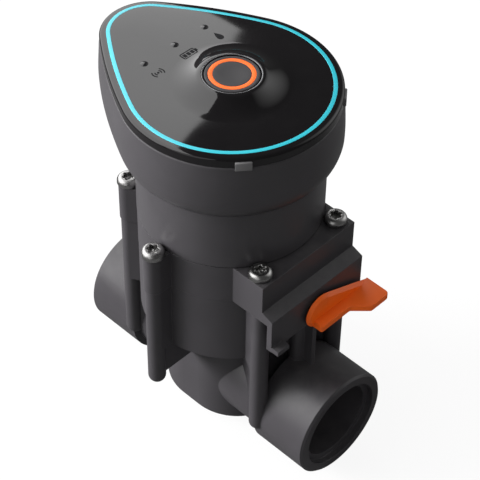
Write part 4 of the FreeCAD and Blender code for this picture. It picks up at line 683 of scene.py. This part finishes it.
def make_button(settings, lid):
    """Turned profiles about the upright axis: a cap with a shallow dish and a groove, the
    ring in the groove and a thin collar round the cap."""
    top, tip, centre = lid.plateau_height, 128.52 * MM, 0.02 * MM
    outer, ring_out, ring_in = settings.button_radius, settings.ring_outer, settings.ring_inner
    low, flange, groove = top - 3.3 * MM, top - 4.5 * MM, top - 0.95 * MM
    stem, hollow, skirt, gap = 1.7 * MM, 7.1 * MM, 11.9 * MM, 0.02 * MM
    cap = rounded([
        (centre, tip), (stem, tip, 0.1 * MM), (stem, low), (hollow, low), (hollow, flange),
        (skirt, flange, 0.1 * MM), (skirt, low, 0.2 * MM), (outer, low), (outer, top, 0.35 * MM),
        (ring_out + gap, top - 0.02 * MM, 0.06 * MM), (ring_out + gap, groove),
        (ring_in - gap, groove), (ring_in - gap, top - 0.03 * MM, 0.06 * MM),
        (ring_in * 0.6, top - 0.22 * MM), (ring_in * 0.3, top - 0.3 * MM),
        (centre, top - 0.32 * MM),
    ], closed=False)
    build("push_button", [shell(lathe(cap), "fan")], "button_plastic", "button", ["button"],
          sharp=30.0)
    ring = rounded([(ring_in, groove + gap), (ring_out, groove + gap),
                    (ring_out, top - 0.01 * MM, 0.12 * MM), (ring_in, top - 0.01 * MM, 0.12 * MM)])
    build("glow_ring", [shell(lathe(ring))], "orange_plastic", "button", ["button_ring"])
    inner, rim = outer + settings.button_gap, lid.bore_radius - 0.01 * MM
    bezel = rounded([(inner, top - 3.0 * MM), (rim, top - 3.0 * MM),
                     (rim, top + 0.08 * MM, 0.15 * MM), (inner, top + 0.08 * MM, 0.2 * MM)])
    build("button_collar", [shell(lathe(bezel))], "bright_trim", "control_head", ["button_bezel"])


def make_screws(settings):
    """A pan head and shank turned about each screw's axis. The recess's radius is a middle
    radius plus a lobe depth times the cosine of six times the angle."""
    angle = np.linspace(0, 2 * math.pi, 72, endpoint=False)
    seat, head, height = settings.seat_height, settings.head_radius, settings.head_height
    shank, tip, shoulder, point = 1.9 * MM, 0.3 * MM, 32.2 * MM, 34.0 * MM
    outside = rounded([
        (tip, seat - point), (shank, seat - shoulder), (shank, seat), (head - 0.15 * MM, seat),
        (head, seat + 0.2 * MM, 0.1 * MM), (head, seat + height * 0.6, 1.8 * MM),
        (head * 0.78, seat + height, 1.4 * MM), (2.5 * MM, seat + height, 0.1 * MM),
    ], steps=6, closed=False)
    rings = [around_axis(radius, angle, z) for radius, z in outside]
    lobe = settings.recess_radius + settings.lobe_depth * np.cos(6 * angle)
    deep = settings.recess_depth
    for share, drop in ((1.06, 0.0), (1.0, 0.12 * MM), (0.98, deep - 0.15 * MM), (0.9, deep),
                        (0.4, deep + 0.3 * MM)):
        rings.append(around_axis(share * lobe, angle, seat + height - drop))
    screw = np.stack(rings)
    shells = []
    for number in range(6):
        spun = turned(screw, math.radians(settings.first_turn + 37.0 * number))
        place = math.radians(30 + 60 * number)
        offset = (AXIS_X + settings.screw_ring * math.cos(place),
                  settings.screw_ring * math.sin(place), 0.0)
        shells.append(shell(spun + np.array(offset), "fan"))
    return build("pan_screws", shells, "screw_steel", "valve", ["bonnet_screws"])


def make_lever(settings):
    """A turned disc, a flat plate whose rounded section widens along it, and a block between
    two quadrilaterals whose top edge leaves the disc on a tangent and falls to the plate."""
    back = AXIS_X + settings.lever_back
    face = back + settings.disc_thickness
    height, radius, middle = settings.pivot_height, settings.disc_radius, 0.5 * MM
    disc = rounded([(middle, back), (radius, back, 0.1 * MM), (radius, back + 0.25 * MM),
                    (radius - 1.4 * MM, face, 0.25 * MM), (middle, face)], closed=False)
    shells = [shell(lathe(disc, (0.0, 0.0, height), 96, "X"), "fan")]
    low = height - settings.plate_drop
    top = low + settings.plate_thickness
    stations = (
        # way along the plate and its reach out from the hood, in mm
        (-4.0, 4.7), (-3.8, 5.05), (-3.4, 5.2), (10.2, 5.2), (10.7, 5.35), (11.1, 5.7),
        (15.8, 10.4), (16.3, 10.65), (16.9, 10.7), (24.1, 10.7), (24.8, 10.5), (25.2, 10.1),
        (25.4, 9.5),
    )
    rings = []
    for along, reach_out in stations:
        front = back + reach_out * MM
        section = rounded([(back, low, 0.2 * MM), (front, low, 0.3 * MM),
                           (front, top, 0.3 * MM), (back, top, 0.2 * MM)], steps=4)
        rings.append(np.insert(section, 1, along * MM, axis=1))
    shells.append(shell(np.stack(rings), "fan"))
    far, drop, skin = 24.5 * MM, 1.4 * MM, 0.04 * MM
    rise = top - height
    touch = math.atan2(rise, far) + math.acos(radius / math.hypot(far, rise))
    near_y, near_z = radius * math.cos(touch), height + radius * math.sin(touch)
    block = [[(x + skin, near_y, low + skin), (x + skin, far, low + skin),
              (x + skin, far, top - skin - fall), (x + skin, near_y, near_z - fall)]
             for x, fall in ((back, 0.0), (face, drop))]
    shells.append(shell(np.array(block), "fan"))
    return build("bleed_handle", shells, "orange_plastic", "bleed_lever", ["lever"])


def make_catches(settings):
    """Each catch is an upright profile of radius and height, drawn across a width that grows
    with the radius, and turned to its place on the rim."""
    seam, half, soft = SEAM_Z, settings.catch_width / 2, 0.25 * MM
    inner, foot, outer = 34.9 * MM, 37.1 * MM, RIM_RADIUS
    profile = rounded([
        (inner, seam + 0.2 * MM), (foot, seam + 0.2 * MM), (foot, seam - 0.8 * MM),
        (outer, seam - 0.8 * MM, 0.25 * MM), (outer, seam + 2.6 * MM, 0.35 * MM),
        (inner, seam + 2.6 * MM),
    ], steps=4)
    middle = profile.mean(axis=0)
    rings = []
    for share, across in ((0.93, -half), (1.0, -half + soft), (1.0, half - soft), (0.93, half)):
        drawn = middle + (profile - middle) * share
        rings.append(np.stack([drawn[:, 0], across * drawn[:, 0] / outer, drawn[:, 1]], -1))
    block = np.stack(rings)
    for name, turn in (("left", CATCH_ANGLE), ("right", -CATCH_ANGLE)):
        build("catch_tab_" + name, [shell(turned(block, turn) + AXIS_FOOT, "fan")], "catch_grey",
              "catch_" + name, ["release_catch_" + name], slot="button_plastic")


def coil(radius, wire, bottom, top, turns, columns=16):
    """A round wire wound in a helix: at each step the wire's circle lies in the plane of the
    outward direction and the direction at right angles to it and to the helix."""
    turn = np.linspace(0, 2 * math.pi * turns, 32 * turns + 1)
    low, high = bottom + wire, top - wire
    slope = (high - low) / (2 * math.pi * turns)
    out = around_axis(1.0, turn, 0.0)
    onward = around_axis(radius, turn + math.pi / 2, slope)
    onward /= np.linalg.norm(onward, axis=1, keepdims=True)
    upright = np.cross(out, onward)
    centre = around_axis(radius, turn, low + slope * turn) + AXIS_FOOT
    around = np.linspace(0, 2 * math.pi, columns, endpoint=False)[:, None]
    grid = centre[:, None] + wire * (np.cos(around) * out[:, None]
                                     + np.sin(around) * upright[:, None])
    return shell(grid, "fan")


def make_flexing(settings):
    """Two coils and a turned profile, the rubber diaphragm."""
    springs = (
        ("main_spring_coil", "diaphragm_spring", "valve_lift", settings.main_radius,
         settings.main_wire, settings.main_bottom, settings.main_top, 4, settings.valve_travel),
        ("plunger_spring_coil", "plunger_spring", "plunger_lift", settings.small_radius,
         settings.small_wire, settings.small_bottom, settings.small_top, 7,
         settings.plunger_travel),
    )
    for name, node, joint, radius, wire, bottom, top, turns, travel in springs:
        piece = build(name, [coil(radius, wire, bottom, top, turns)], "magnet_steel", "valve",
                      [node])
        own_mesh(piece)
    low, high = settings.diaphragm_bottom, settings.diaphragm_top
    corners = (
        # radius, rise above the flat and corner radius, in mm
        (3.1, 0.0, 0.0), (16.0, 0.0, 2.5), (22.3, 6.1, 3.0), (28.6, 7.7, 0.6), (30.7, 7.7, 0.4),
        (30.7, 10.1, 0.4), (27.0, 10.1, 1.5), (20.7, 7.7, 2.0), (15.2, 2.5, 0.8), (3.1, 2.5, 0.0),
    )
    profile = rounded([(radius * MM, low + rise * MM, soft * MM) for radius, rise, soft in corners],
                      steps=6)
    piece = build("rubber_diaphragm", [shell(lathe(profile))], "rubber_black", "valve",
                  ["diaphragm"])
    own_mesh(piece)


def top_at(x, y, lid):
    """The lid's height at given places: along each place's polar angle, the heights of the
    lid's own rings are interpolated at its distance from the upright axis."""
    x, y = np.atleast_1d(x).astype(float), np.atleast_1d(y).astype(float)
    angle, distance = np.arctan2(y, x - AXIS_X), np.hypot(x - AXIS_X, y)
    rings = lid_rows(angle, lid)
    away = np.stack([ring[0] for ring in rings])
    height = np.stack([lid_height(run, ring, lid) for ring, run in rings])
    row = np.clip((away > distance).sum(axis=0), 1, len(rings) - 1)
    column = np.arange(len(angle))
    share = (away[row - 1, column] - distance) / (away[row - 1, column] - away[row, column])
    return height[row - 1, column] * (1 - share) + height[row, column] * share


def make_lamps(settings, lid):
    """Each lamp window is a low dome, a cap of a sphere turned about its own axis: its height
    falls from the crown's by the sphere's radius less the root of its square less the
    distance's square."""
    radius, rise, sunk = settings.lamp_radius, settings.lamp_rise, -0.8 * MM
    sphere = (radius ** 2 + rise ** 2) / (2 * rise)
    distance = np.linspace(radius, 0.1 * MM, 14)
    cap = np.sqrt(sphere ** 2 - distance ** 2) - (sphere - rise)
    profile = np.vstack([[0.2 * MM, sunk], [radius, sunk],
                         np.stack([distance, cap + 0.02 * MM], -1)])
    shells = []
    for side in (-1, 0, 1):
        x, y = AXIS_X - settings.lamp_back, side * settings.lamp_spacing
        shells.append(shell(lathe(profile, (x, y, top_at(x, y, lid)[0]), 48), "fan"))
    return build("lamp_windows", shells, "clear_plastic", "control_head", ["light_guides"])


def ribbon(low, high):
    """A curved bar between two rings: the outline is an outer run and an inner run of as
    many points, and faces join the runs point by point above, below and along the sides."""
    total = len(low)
    step = np.arange(total // 2 - 1)
    mirror = total - 1 - step
    upper = np.stack([total + step, total + step + 1, total + mirror - 1, total + mirror], 1)
    lower = np.stack([mirror, mirror - 1, step + 1, step], 1)
    around = np.arange(total)
    following = (around + 1) % total
    sides = np.stack([around, following, total + following, total + around], 1)
    return outward(np.vstack([low, high]), np.vstack([upper, lower, sides]),
                   np.empty((0, 3), dtype=int))


def make_marks(settings, lid):
    """Flat printed marks on the lid, each a thin closed piece laid on the lid's surface: a
    battery's outline with bars, a drop, and waves about a dot."""
    base_x = AXIS_X - settings.mark_back
    below, above = -0.1 * MM, 0.03 * MM
    shells = []

    def laid(outline, along, lift):
        """An outline on the lid: its up is towards the narrow end, its right is +Y."""
        x, y = base_x - outline[:, 1], along + outline[:, 0]
        return np.stack([x, y, top_at(x, y, lid) + lift], -1)

    def strip(outer, inner, along):
        shells.append(shell(np.stack([laid(outer, along, below), laid(outer, along, above),
                                      laid(inner, along, above), laid(inner, along, below)])))

    def patch(outline, along):
        middle = outline.mean(axis=0)
        half = middle + (outline - middle) * 0.5
        shells.append(shell(np.stack([laid(outline, along, below), laid(outline, along, above),
                                      laid(half, along, above)]), "fan"))

    def block(width, height, radius, x=0.0):
        corners = [(x + across * width / 2, up * height / 2, radius)
                   for across, up in ((-1, -1), (1, -1), (1, 1), (-1, 1))]
        return rounded(np.array(corners) * MM, steps=3)

    strip(block(6.2, 3.3, 0.5), block(5.4, 2.5, 0.2), 0.0)
    patch(block(0.6, 1.4, 0.1, 3.45), 0.0)
    for place in (-1.7, 0.0, 1.7):
        patch(block(1.25, 1.7, 0.1, place), 0.0)
    turn = np.linspace(0, 2 * math.pi, 48, endpoint=False)
    drop = np.stack([1.7 * MM * np.sin(turn) * np.sin(turn / 2) ** 1.4,
                     2.3 * MM * np.cos(turn)], -1)
    patch(drop[::-1], settings.mark_spacing)
    for inner, outer in ((0.9, 1.35), (1.9, 2.35)):
        for side in (0.0, math.pi):
            sweep = np.linspace(-0.75, 0.75, 12) + side
            far = np.stack([np.cos(sweep), np.sin(sweep)], -1)
            loop = np.vstack([far * outer, far[::-1] * inner]) * MM
            shells.append(ribbon(laid(loop, -settings.mark_spacing, below),
                                 laid(loop, -settings.mark_spacing, above)))
    patch(0.45 * MM * np.stack([np.cos(turn), np.sin(turn)], -1), -settings.mark_spacing)
    return build("lid_marks", shells, "lid_print", "control_head", slot="lid_gloss")


# Stage

STUDIO_MIDDLE = np.array([AXIS_X, 0.0, 0.12])
# The camera's own level frame, in columns: rightward, away from the camera, and up
STUDIO_FRAME = np.array([[0.7213, -0.6926, 0.0], [0.6926, 0.7213, 0.0], [0.0, 0.0, 1.0]])
# The left screen's corners, set so that its mirror image in the lid ends where the light
# on the photograph's lid does: round the near tip, up the far side and back along the near edge
LEFT_SCREEN = ((-0.008, 0.46), (0.006, 0.53), (-0.004, 0.585), (-0.045, 0.65), (-0.2, 0.87),
               (-0.6, 0.75), (-0.92, 0.25), (-0.88, -0.35), (-0.26, -0.32), (-0.2, -0.07),
               (-0.097, 0.214), (-0.074, 0.30), (-0.048, 0.37), (-0.03, 0.415))
CAMERA_PLACE = (0.35809, -0.31332, 0.49136)
# Azimuth, elevation and roll, in degrees
CAMERA_ANGLES = (-46.1624, 44.9058, 0.9372)


def soft_box(name, place, facing, size, radiance, spread=180.0, mirrored=True):
    """A round lamp that shines one way: its power is its radiance times pi times its area,
    times one less half the spread over that half's tangent, as a narrow spread is dimmed.
    Place and facing are in the camera's level frame, from the lid's middle."""
    lamp = bpy.data.lights.new(name, "AREA")
    lamp.shape = "DISK"
    lamp.size = size
    half = math.radians(spread) / 2
    lamp.spread = 2 * half
    area = math.pi * size ** 2 / 4
    lamp.energy = radiance * math.pi * area * (1 - half / math.tan(half))
    item = place_object(name, lamp)
    backward = -mathutils.Vector(STUDIO_FRAME @ facing).normalized()
    across = mathutils.Vector(UP).cross(backward).normalized()
    turn = mathutils.Matrix((across, backward.cross(across), backward)).transposed()
    position = mathutils.Vector(STUDIO_MIDDLE + STUDIO_FRAME @ place)
    item.matrix_world = mathutils.Matrix.Translation(position) @ turn.to_4x4()
    item.visible_camera = False
    item.visible_glossy = mirrored


def soft_screen(name, corners, facing, distance, radiance):
    """A flat glowing screen. Each corner is where a direction from the lid's middle meets the
    screen's plane. A direction comes as its stereographic place: the level part over one
    plus the upward part."""
    places = np.array(corners)
    square = (places ** 2).sum(axis=1, keepdims=True)
    directions = np.hstack([2 * places, 1 - square]) / (1 + square)
    normal = np.array(facing) / np.linalg.norm(facing)
    reached = directions * distance / (directions @ normal)[:, None]
    points = STUDIO_MIDDLE + reached @ STUDIO_FRAME.T
    mesh = bpy.data.meshes.new(name)
    mesh.from_pydata(points.tolist(), [], [list(range(len(points)))])
    screen = place_object(name, mesh)
    material = bpy.data.materials.new(name)
    material.use_nodes = True
    tree = material.node_tree
    glow = put(tree, "ShaderNodeEmission", {"Strength": radiance})
    feed(tree, tree.nodes["Material Output"], {"Surface": glow.outputs[0]})
    mesh.materials.append(material)
    screen.visible_camera = False
    screen.visible_shadow = False
    screen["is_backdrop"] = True


def seen_directly(tree):
    """One for rays from the camera, straight or through something clear, and nought else."""
    path = put(tree, "ShaderNodeLightPath").outputs
    return sum_of(tree, "MAXIMUM", path["Is Camera Ray"], path["Is Transmission Ray"])


def make_floor(settings):
    """A pale round floor, which is plain white towards its edge as the camera sees it."""
    floor_z = float(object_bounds()[0][2]) - 0.2 * MM
    radius = settings.floor_radius
    bpy.ops.mesh.primitive_circle_add(vertices=96, radius=radius, fill_type="NGON",
                                      location=(AXIS_X, 0.0, floor_z))
    floor = bpy.context.active_object
    floor.name = "studio_floor"
    material = bpy.data.materials.new("studio_floor")
    material.use_nodes = True
    tree = material.node_tree
    seen = seen_directly(tree)
    shader = tree.nodes["Principled BSDF"]
    feed(tree, shader, {"Roughness": 0.9, "Base Color": mixed(
        tree, seen, (0.10, 0.10, 0.10, 1.0), (0.80, 0.80, 0.80, 1.0))})
    glow = put(tree, "ShaderNodeEmission", {"Strength": 1.0})
    away = put(tree, "ShaderNodeVectorMath", {0: place_of(tree, (0.0, 0.0, 0.0))},
               operation="LENGTH")
    fade = ramp(tree, away.outputs["Value"], radius * 0.3, radius * 0.9, settings.floor_glow, 1.0)
    share = sum_of(tree, "MULTIPLY", seen, fade)
    mix = put(tree, "ShaderNodeMixShader", {0: share, 1: shader.outputs[0], 2: glow.outputs[0]})
    feed(tree, tree.nodes["Material Output"], {"Surface": mix.outputs[0]})
    floor.data.materials.append(material)
    floor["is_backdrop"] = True


def make_world(settings):
    """Dim light from all round, and plain white where the camera sees past the floor."""
    world = bpy.context.scene.world or bpy.data.worlds.new("studio")
    bpy.context.scene.world = world
    world.use_nodes = True
    tree = world.node_tree
    tree.nodes.clear()
    dim, white = (put(tree, "ShaderNodeBackground", {"Color": (1.0, 1.0, 1.0, 1.0),
                                                     "Strength": strength}).outputs[0]
                  for strength in (settings.world_strength, 1.0))
    mix = put(tree, "ShaderNodeMixShader", {0: seen_directly(tree), 1: dim, 2: white})
    put(tree, "ShaderNodeOutputWorld", {"Surface": mix.outputs[0]})


def make_camera(settings):
    """The photograph's camera, from its azimuth, elevation and roll in degrees."""
    camera = bpy.data.cameras.new("photo_camera")
    camera.lens = settings.lens
    camera.sensor_width = 36.0
    camera.clip_start = 0.01
    item = place_object("photo_camera", camera)
    azimuth, elevation, roll = (math.radians(value) for value in CAMERA_ANGLES)
    back = mathutils.Vector((math.cos(azimuth) * math.cos(elevation),
                             math.sin(azimuth) * math.cos(elevation), math.sin(elevation)))
    level = mathutils.Vector((-math.sin(azimuth), math.cos(azimuth), 0.0))
    upright = back.cross(level)
    right = level * math.cos(roll) + upright * math.sin(roll)
    above = upright * math.cos(roll) - level * math.sin(roll)
    turn = mathutils.Matrix((right, above, back)).transposed()
    item.matrix_world = mathutils.Matrix.Translation(CAMERA_PLACE) @ turn.to_4x4()
    bpy.context.scene.camera = item
    bpy.context.scene.view_settings.view_transform = "Standard"


def make_stage(settings):
    """The floor, the white surroundings, the lamps and the camera."""
    make_floor(settings)
    make_world(settings)
    soft_screen("left_screen", LEFT_SCREEN, (-0.85, 0.25, 0.35), 3.0, settings.left_light)
    soft_box("left_lamp", (-2.6, 0.15, 0.4), (0.99, -0.05, -0.15), 1.6, settings.low_light,
             mirrored=False)
    soft_box("fill_lamp", (0.75, -2.1, 1.0), (-0.3, 0.85, -0.4), 2.2, settings.fill_light,
             mirrored=False)
    soft_box("right_softbox", (2.37, 1.293, 1.311), (-0.790, -0.431, -0.437), 6.0,
             settings.right_light, settings.right_spread)
    soft_box("front_softbox", (-2.0, -2.8, 1.1), (0.55, 0.78, -0.30), 3.0, settings.front_light)
    make_camera(settings)


# Settings that a user would change

def length(label, text, default):
    return bpy.props.FloatProperty(name=label, description=text, default=default, unit="LENGTH",
                                   subtype="DISTANCE", precision=5, min=0.0)


def number(label, text, default):
    return bpy.props.FloatProperty(name=label, description=text, default=default)


def colour(label, text, default):
    return bpy.props.FloatVectorProperty(name=label, description=text, default=default, size=3,
                                         subtype="COLOR", min=0.0, max=1.0)


class FinishSettings(bpy.types.PropertyGroup):
    body_colour: colour("Body", "Colour of the valve body and bonnet", (0.032, 0.030, 0.033))
    body_roughness: number("Body roughness", "Gloss of the body's plastic", 0.40)
    housing_colour: colour("Housing", "Colour of the head's housing", (0.035, 0.033, 0.036))
    housing_roughness: number("Housing roughness", "Gloss of the housing's plastic", 0.36)
    lid_colour: colour("Lid", "Colour of the gloss lid", (0.004, 0.0035, 0.004))
    lid_roughness: number("Lid roughness", "Gloss of the lid", 0.05)
    cyan_colour: colour("Band", "Colour of the band in the lid", (0.028, 0.40, 0.48))
    orange_colour: colour("Orange", "Colour of the ring and the lever", (0.80, 0.115, 0.002))
    button_colour: colour("Button", "Colour of the button", (0.018, 0.017, 0.019))
    catch_colour: colour("Catches", "Colour of the catches", (0.12, 0.118, 0.12))
    steel_colour: colour("Steel", "Colour of the screws", (0.40, 0.395, 0.39))


class HousingSettings(bpy.types.PropertyGroup):
    neck_radius: length("Neck radius", "Outer radius of the round neck", 0.0335)
    wall: length("Wall", "Thickness of the housing's wall", 0.0026)
    base_height: length("Base height", "Height of the neck's foot", 0.0746)
    hem_turn: length("Hem turn", "Run over which the wall turns into the underside", 0.0034)


class LidSettings(bpy.types.PropertyGroup):
    wall_height: length("Wall height", "Upright part of the lid's side", 0.0026)
    crown_height: length("Crown height", "Height of the lid at the end of its rounded edge", 0.1286)
    dome_rise: length("Dome rise", "Rise of the lid from its edge inward", 0.00085)
    dome_run: length("Dome run", "Distance over which most of the rise happens", 0.009)
    mound_radius: length("Mound radius", "Radius of the mound's foot", 0.0212)
    mound_power: number("Mound power", "How hollow the mound's flank is", 2.0)
    plateau_radius: length("Plateau radius", "Radius of the flat round the button", 0.0115)
    plateau_height: length("Plateau height", "Height of the flat round the button", 0.1328)
    bore_radius: length("Bore radius", "Radius of the button's bore", 0.01045)
    band_inset: length("Band inset", "Middle of the band in from the rim", 0.0034)
    band_width: length("Band width", "Width of the band", 0.0014)
    band_proud: length("Band proud", "How far the band stands over the lid", 0.00006)


class ButtonSettings(bpy.types.PropertyGroup):
    button_radius: length("Button radius", "Radius of the button's cap", 0.0095)
    button_gap: length("Button gap", "Gap between the button and its collar", 0.0004)
    ring_outer: length("Ring outer radius", "Outer radius of the orange ring", 0.00815)
    ring_inner: length("Ring inner radius", "Inner radius of the orange ring", 0.00656)


class ScrewSettings(bpy.types.PropertyGroup):
    seat_height: length("Seat height", "Height of the face under the heads", 0.0746)
    screw_ring: length("Screw ring", "Radius of the ring of screws", 0.038)
    head_radius: length("Head radius", "Radius of a screw's head", 0.0042)
    head_height: length("Head height", "Height of a screw's head", 0.0029)
    recess_radius: length("Recess radius", "Middle radius of the recess", 0.00195)
    lobe_depth: length("Lobe depth", "Depth of the recess's lobes", 0.0003)
    recess_depth: length("Recess depth", "Depth of the recess", 0.0019)
    first_turn: number("First turn", "Turn of the first screw's recess, in degrees", 10.0)


class LeverSettings(bpy.types.PropertyGroup):
    lever_back: length("Lever back", "Back of the lever ahead of the upright axis", 0.0442)
    pivot_height: length("Pivot height", "Height of the lever's pivot", 0.0518)
    disc_radius: length("Disc radius", "Radius of the lever's disc", 0.007)
    disc_thickness: length("Disc thickness", "Thickness of the lever's disc", 0.00125)
    plate_drop: length("Plate drop", "Underside of the plate below the pivot", 0.0052)
    plate_thickness: length("Plate thickness", "Thickness of the lever's plate", 0.0028)


class CatchSettings(bpy.types.PropertyGroup):
    catch_width: length("Catch width", "Width of a catch at the rim", 0.0056)


class MarkSettings(bpy.types.PropertyGroup):
    lamp_radius: length("Lamp radius", "Radius of a lamp window", 0.0014)
    lamp_rise: length("Lamp rise", "Height of a lamp window's dome", 0.00034)
    lamp_back: length("Lamp distance", "Row of lamps behind the upright axis", 0.0275)
    lamp_spacing: length("Lamp spacing", "Distance between lamps", 0.0142)
    mark_back: length("Mark distance", "Row of marks behind the upright axis", 0.0207)
    mark_spacing: length("Mark spacing", "Distance between marks", 0.0142)


class FlexSettings(bpy.types.PropertyGroup):
    main_radius: length("Main spring radius", "Radius of the main spring's helix", 0.0082)
    main_wire: length("Main wire radius", "Radius of the main spring's wire", 0.0007)
    main_bottom: length("Main spring foot", "Height of the main spring's foot", 0.0527)
    main_top: length("Main spring top", "Height of the main spring's top", 0.066)
    small_radius: length("Small spring radius", "Radius of the plunger spring's helix", 0.0017)
    small_wire: length("Small wire radius", "Radius of the plunger spring's wire", 0.0003)
    small_bottom: length("Small spring foot", "Height of the plunger spring's foot", 0.0761)
    small_top: length("Small spring top", "Height of the plunger spring's top", 0.0841)
    diaphragm_bottom: length("Diaphragm foot", "Height of the diaphragm's flat", 0.0481)
    diaphragm_top: length("Diaphragm top", "Height of the diaphragm's rim", 0.0582)
    valve_travel: length("Valve travel", "How far the valve lifts", 0.006)
    plunger_travel: length("Plunger travel", "How far the plunger lifts", 0.0015)


class StageSettings(bpy.types.PropertyGroup):
    lens: number("Lens", "Focal length of the camera, in millimetres", 127.5)
    floor_radius: length("Floor radius", "Radius of the round floor", 0.55)
    floor_glow: number("Floor glow", "Share of plain white in the floor as seen", 0.9)
    world_strength: number("Surrounding light", "Strength of the studio's own light", 0.1)
    left_light: number("Left light", "Radiance of the wide soft screen at the left", 3.0)
    low_light: number("Low light", "Radiance of the strong lamp low at the left", 40.0)
    fill_light: number("Fill light", "Radiance of the soft lamp behind the camera", 1.2)
    right_light: number("Right light", "Radiance of the soft box at the right", 1.5)
    right_spread: number("Right spread", "Angle over which the right box shines, in degrees", 80.0)
    front_light: number("Front light", "Radiance of the soft box in front", 0.8)


# Operators

class VALVE_OT_finishes(bpy.types.Operator):
    """Makes the finishes and gives one to each piece of the frame"""
    bl_idname = "valve.finishes"
    bl_label = "Finishes"

    def execute(self, context):
        make_finishes(context.scene.valve_finish)
        return {"FINISHED"}


class VALVE_OT_housing(bpy.types.Operator):
    """Builds the egg-shaped housing on its round neck"""
    bl_idname = "valve.housing"
    bl_label = "Housing"

    def execute(self, context):
        make_housing(context.scene.valve_housing)
        return {"FINISHED"}


class VALVE_OT_lid(bpy.types.Operator):
    """Builds the gloss lid with its mound and the band inlaid near its edge"""
    bl_idname = "valve.lid"
    bl_label = "Lid and band"

    def execute(self, context):
        make_lid(context.scene.valve_lid)
        make_band(context.scene.valve_lid)
        return {"FINISHED"}


class VALVE_OT_button(bpy.types.Operator):
    """Builds the button, its orange ring and its bright collar"""
    bl_idname = "valve.button"
    bl_label = "Button"

    def execute(self, context):
        make_button(context.scene.valve_button, context.scene.valve_lid)
        return {"FINISHED"}


class VALVE_OT_marks(bpy.types.Operator):
    """Builds the lamp windows and the printed marks beside them"""
    bl_idname = "valve.marks"
    bl_label = "Lamps and marks"

    def execute(self, context):
        make_lamps(context.scene.valve_marks, context.scene.valve_lid)
        make_marks(context.scene.valve_marks, context.scene.valve_lid)
        return {"FINISHED"}


class VALVE_OT_catches(bpy.types.Operator):
    """Builds the two release catches in the lid's side"""
    bl_idname = "valve.catches"
    bl_label = "Catches"

    def execute(self, context):
        make_catches(context.scene.valve_catches)
        return {"FINISHED"}


class VALVE_OT_screws(bpy.types.Operator):
    """Builds the six pan-head screws of the bonnet"""
    bl_idname = "valve.screws"
    bl_label = "Screws"

    def execute(self, context):
        make_screws(context.scene.valve_screws)
        return {"FINISHED"}


class VALVE_OT_lever(bpy.types.Operator):
    """Builds the orange bleed lever"""
    bl_idname = "valve.lever"
    bl_label = "Bleed lever"

    def execute(self, context):
        make_lever(context.scene.valve_lever)
        return {"FINISHED"}


class VALVE_OT_flexing(bpy.types.Operator):
    """Builds the diaphragm and the two springs"""
    bl_idname = "valve.flexing"
    bl_label = "Diaphragm and springs"

    def execute(self, context):
        make_flexing(context.scene.valve_flexing)
        return {"FINISHED"}


class VALVE_OT_stage(bpy.types.Operator):
    """Sets the floor, the lamps and the camera"""
    bl_idname = "valve.stage"
    bl_label = "Stage"

    def execute(self, context):
        make_stage(context.scene.valve_stage)
        return {"FINISHED"}


class VALVE_PT_panel(bpy.types.Panel):
    """Lists the valve's operators in the order in which they run"""
    bl_idname = "VALVE_PT_panel"
    bl_label = "Irrigation valve"
    bl_space_type = "VIEW_3D"
    bl_region_type = "UI"
    bl_category = "Valve"

    def draw(self, context):
        for operator in OPERATORS:
            self.layout.operator(operator.bl_idname)


SETTINGS = {
    "valve_finish": FinishSettings,
    "valve_housing": HousingSettings,
    "valve_lid": LidSettings,
    "valve_button": ButtonSettings,
    "valve_screws": ScrewSettings,
    "valve_lever": LeverSettings,
    "valve_catches": CatchSettings,
    "valve_marks": MarkSettings,
    "valve_flexing": FlexSettings,
    "valve_stage": StageSettings,
}
OPERATORS = [VALVE_OT_finishes, VALVE_OT_housing, VALVE_OT_lid, VALVE_OT_button, VALVE_OT_marks,
             VALVE_OT_catches, VALVE_OT_screws, VALVE_OT_lever, VALVE_OT_flexing,
             VALVE_OT_stage]


def register():
    for name, group in SETTINGS.items():
        bpy.utils.register_class(group)
        setattr(bpy.types.Scene, name, bpy.props.PointerProperty(type=group))
    for item in OPERATORS + [VALVE_PT_panel]:
        bpy.utils.register_class(item)


def unregister():
    for item in [VALVE_PT_panel] + OPERATORS[::-1]:
        bpy.utils.unregister_class(item)
    for name, group in SETTINGS.items():
        delattr(bpy.types.Scene, name)
        bpy.utils.unregister_class(group)


def main():
    register()
    for operator in OPERATORS:
        family, name = operator.bl_idname.split(".")
        getattr(getattr(bpy.ops, family), name)()


if __name__ == "__main__":
    main()
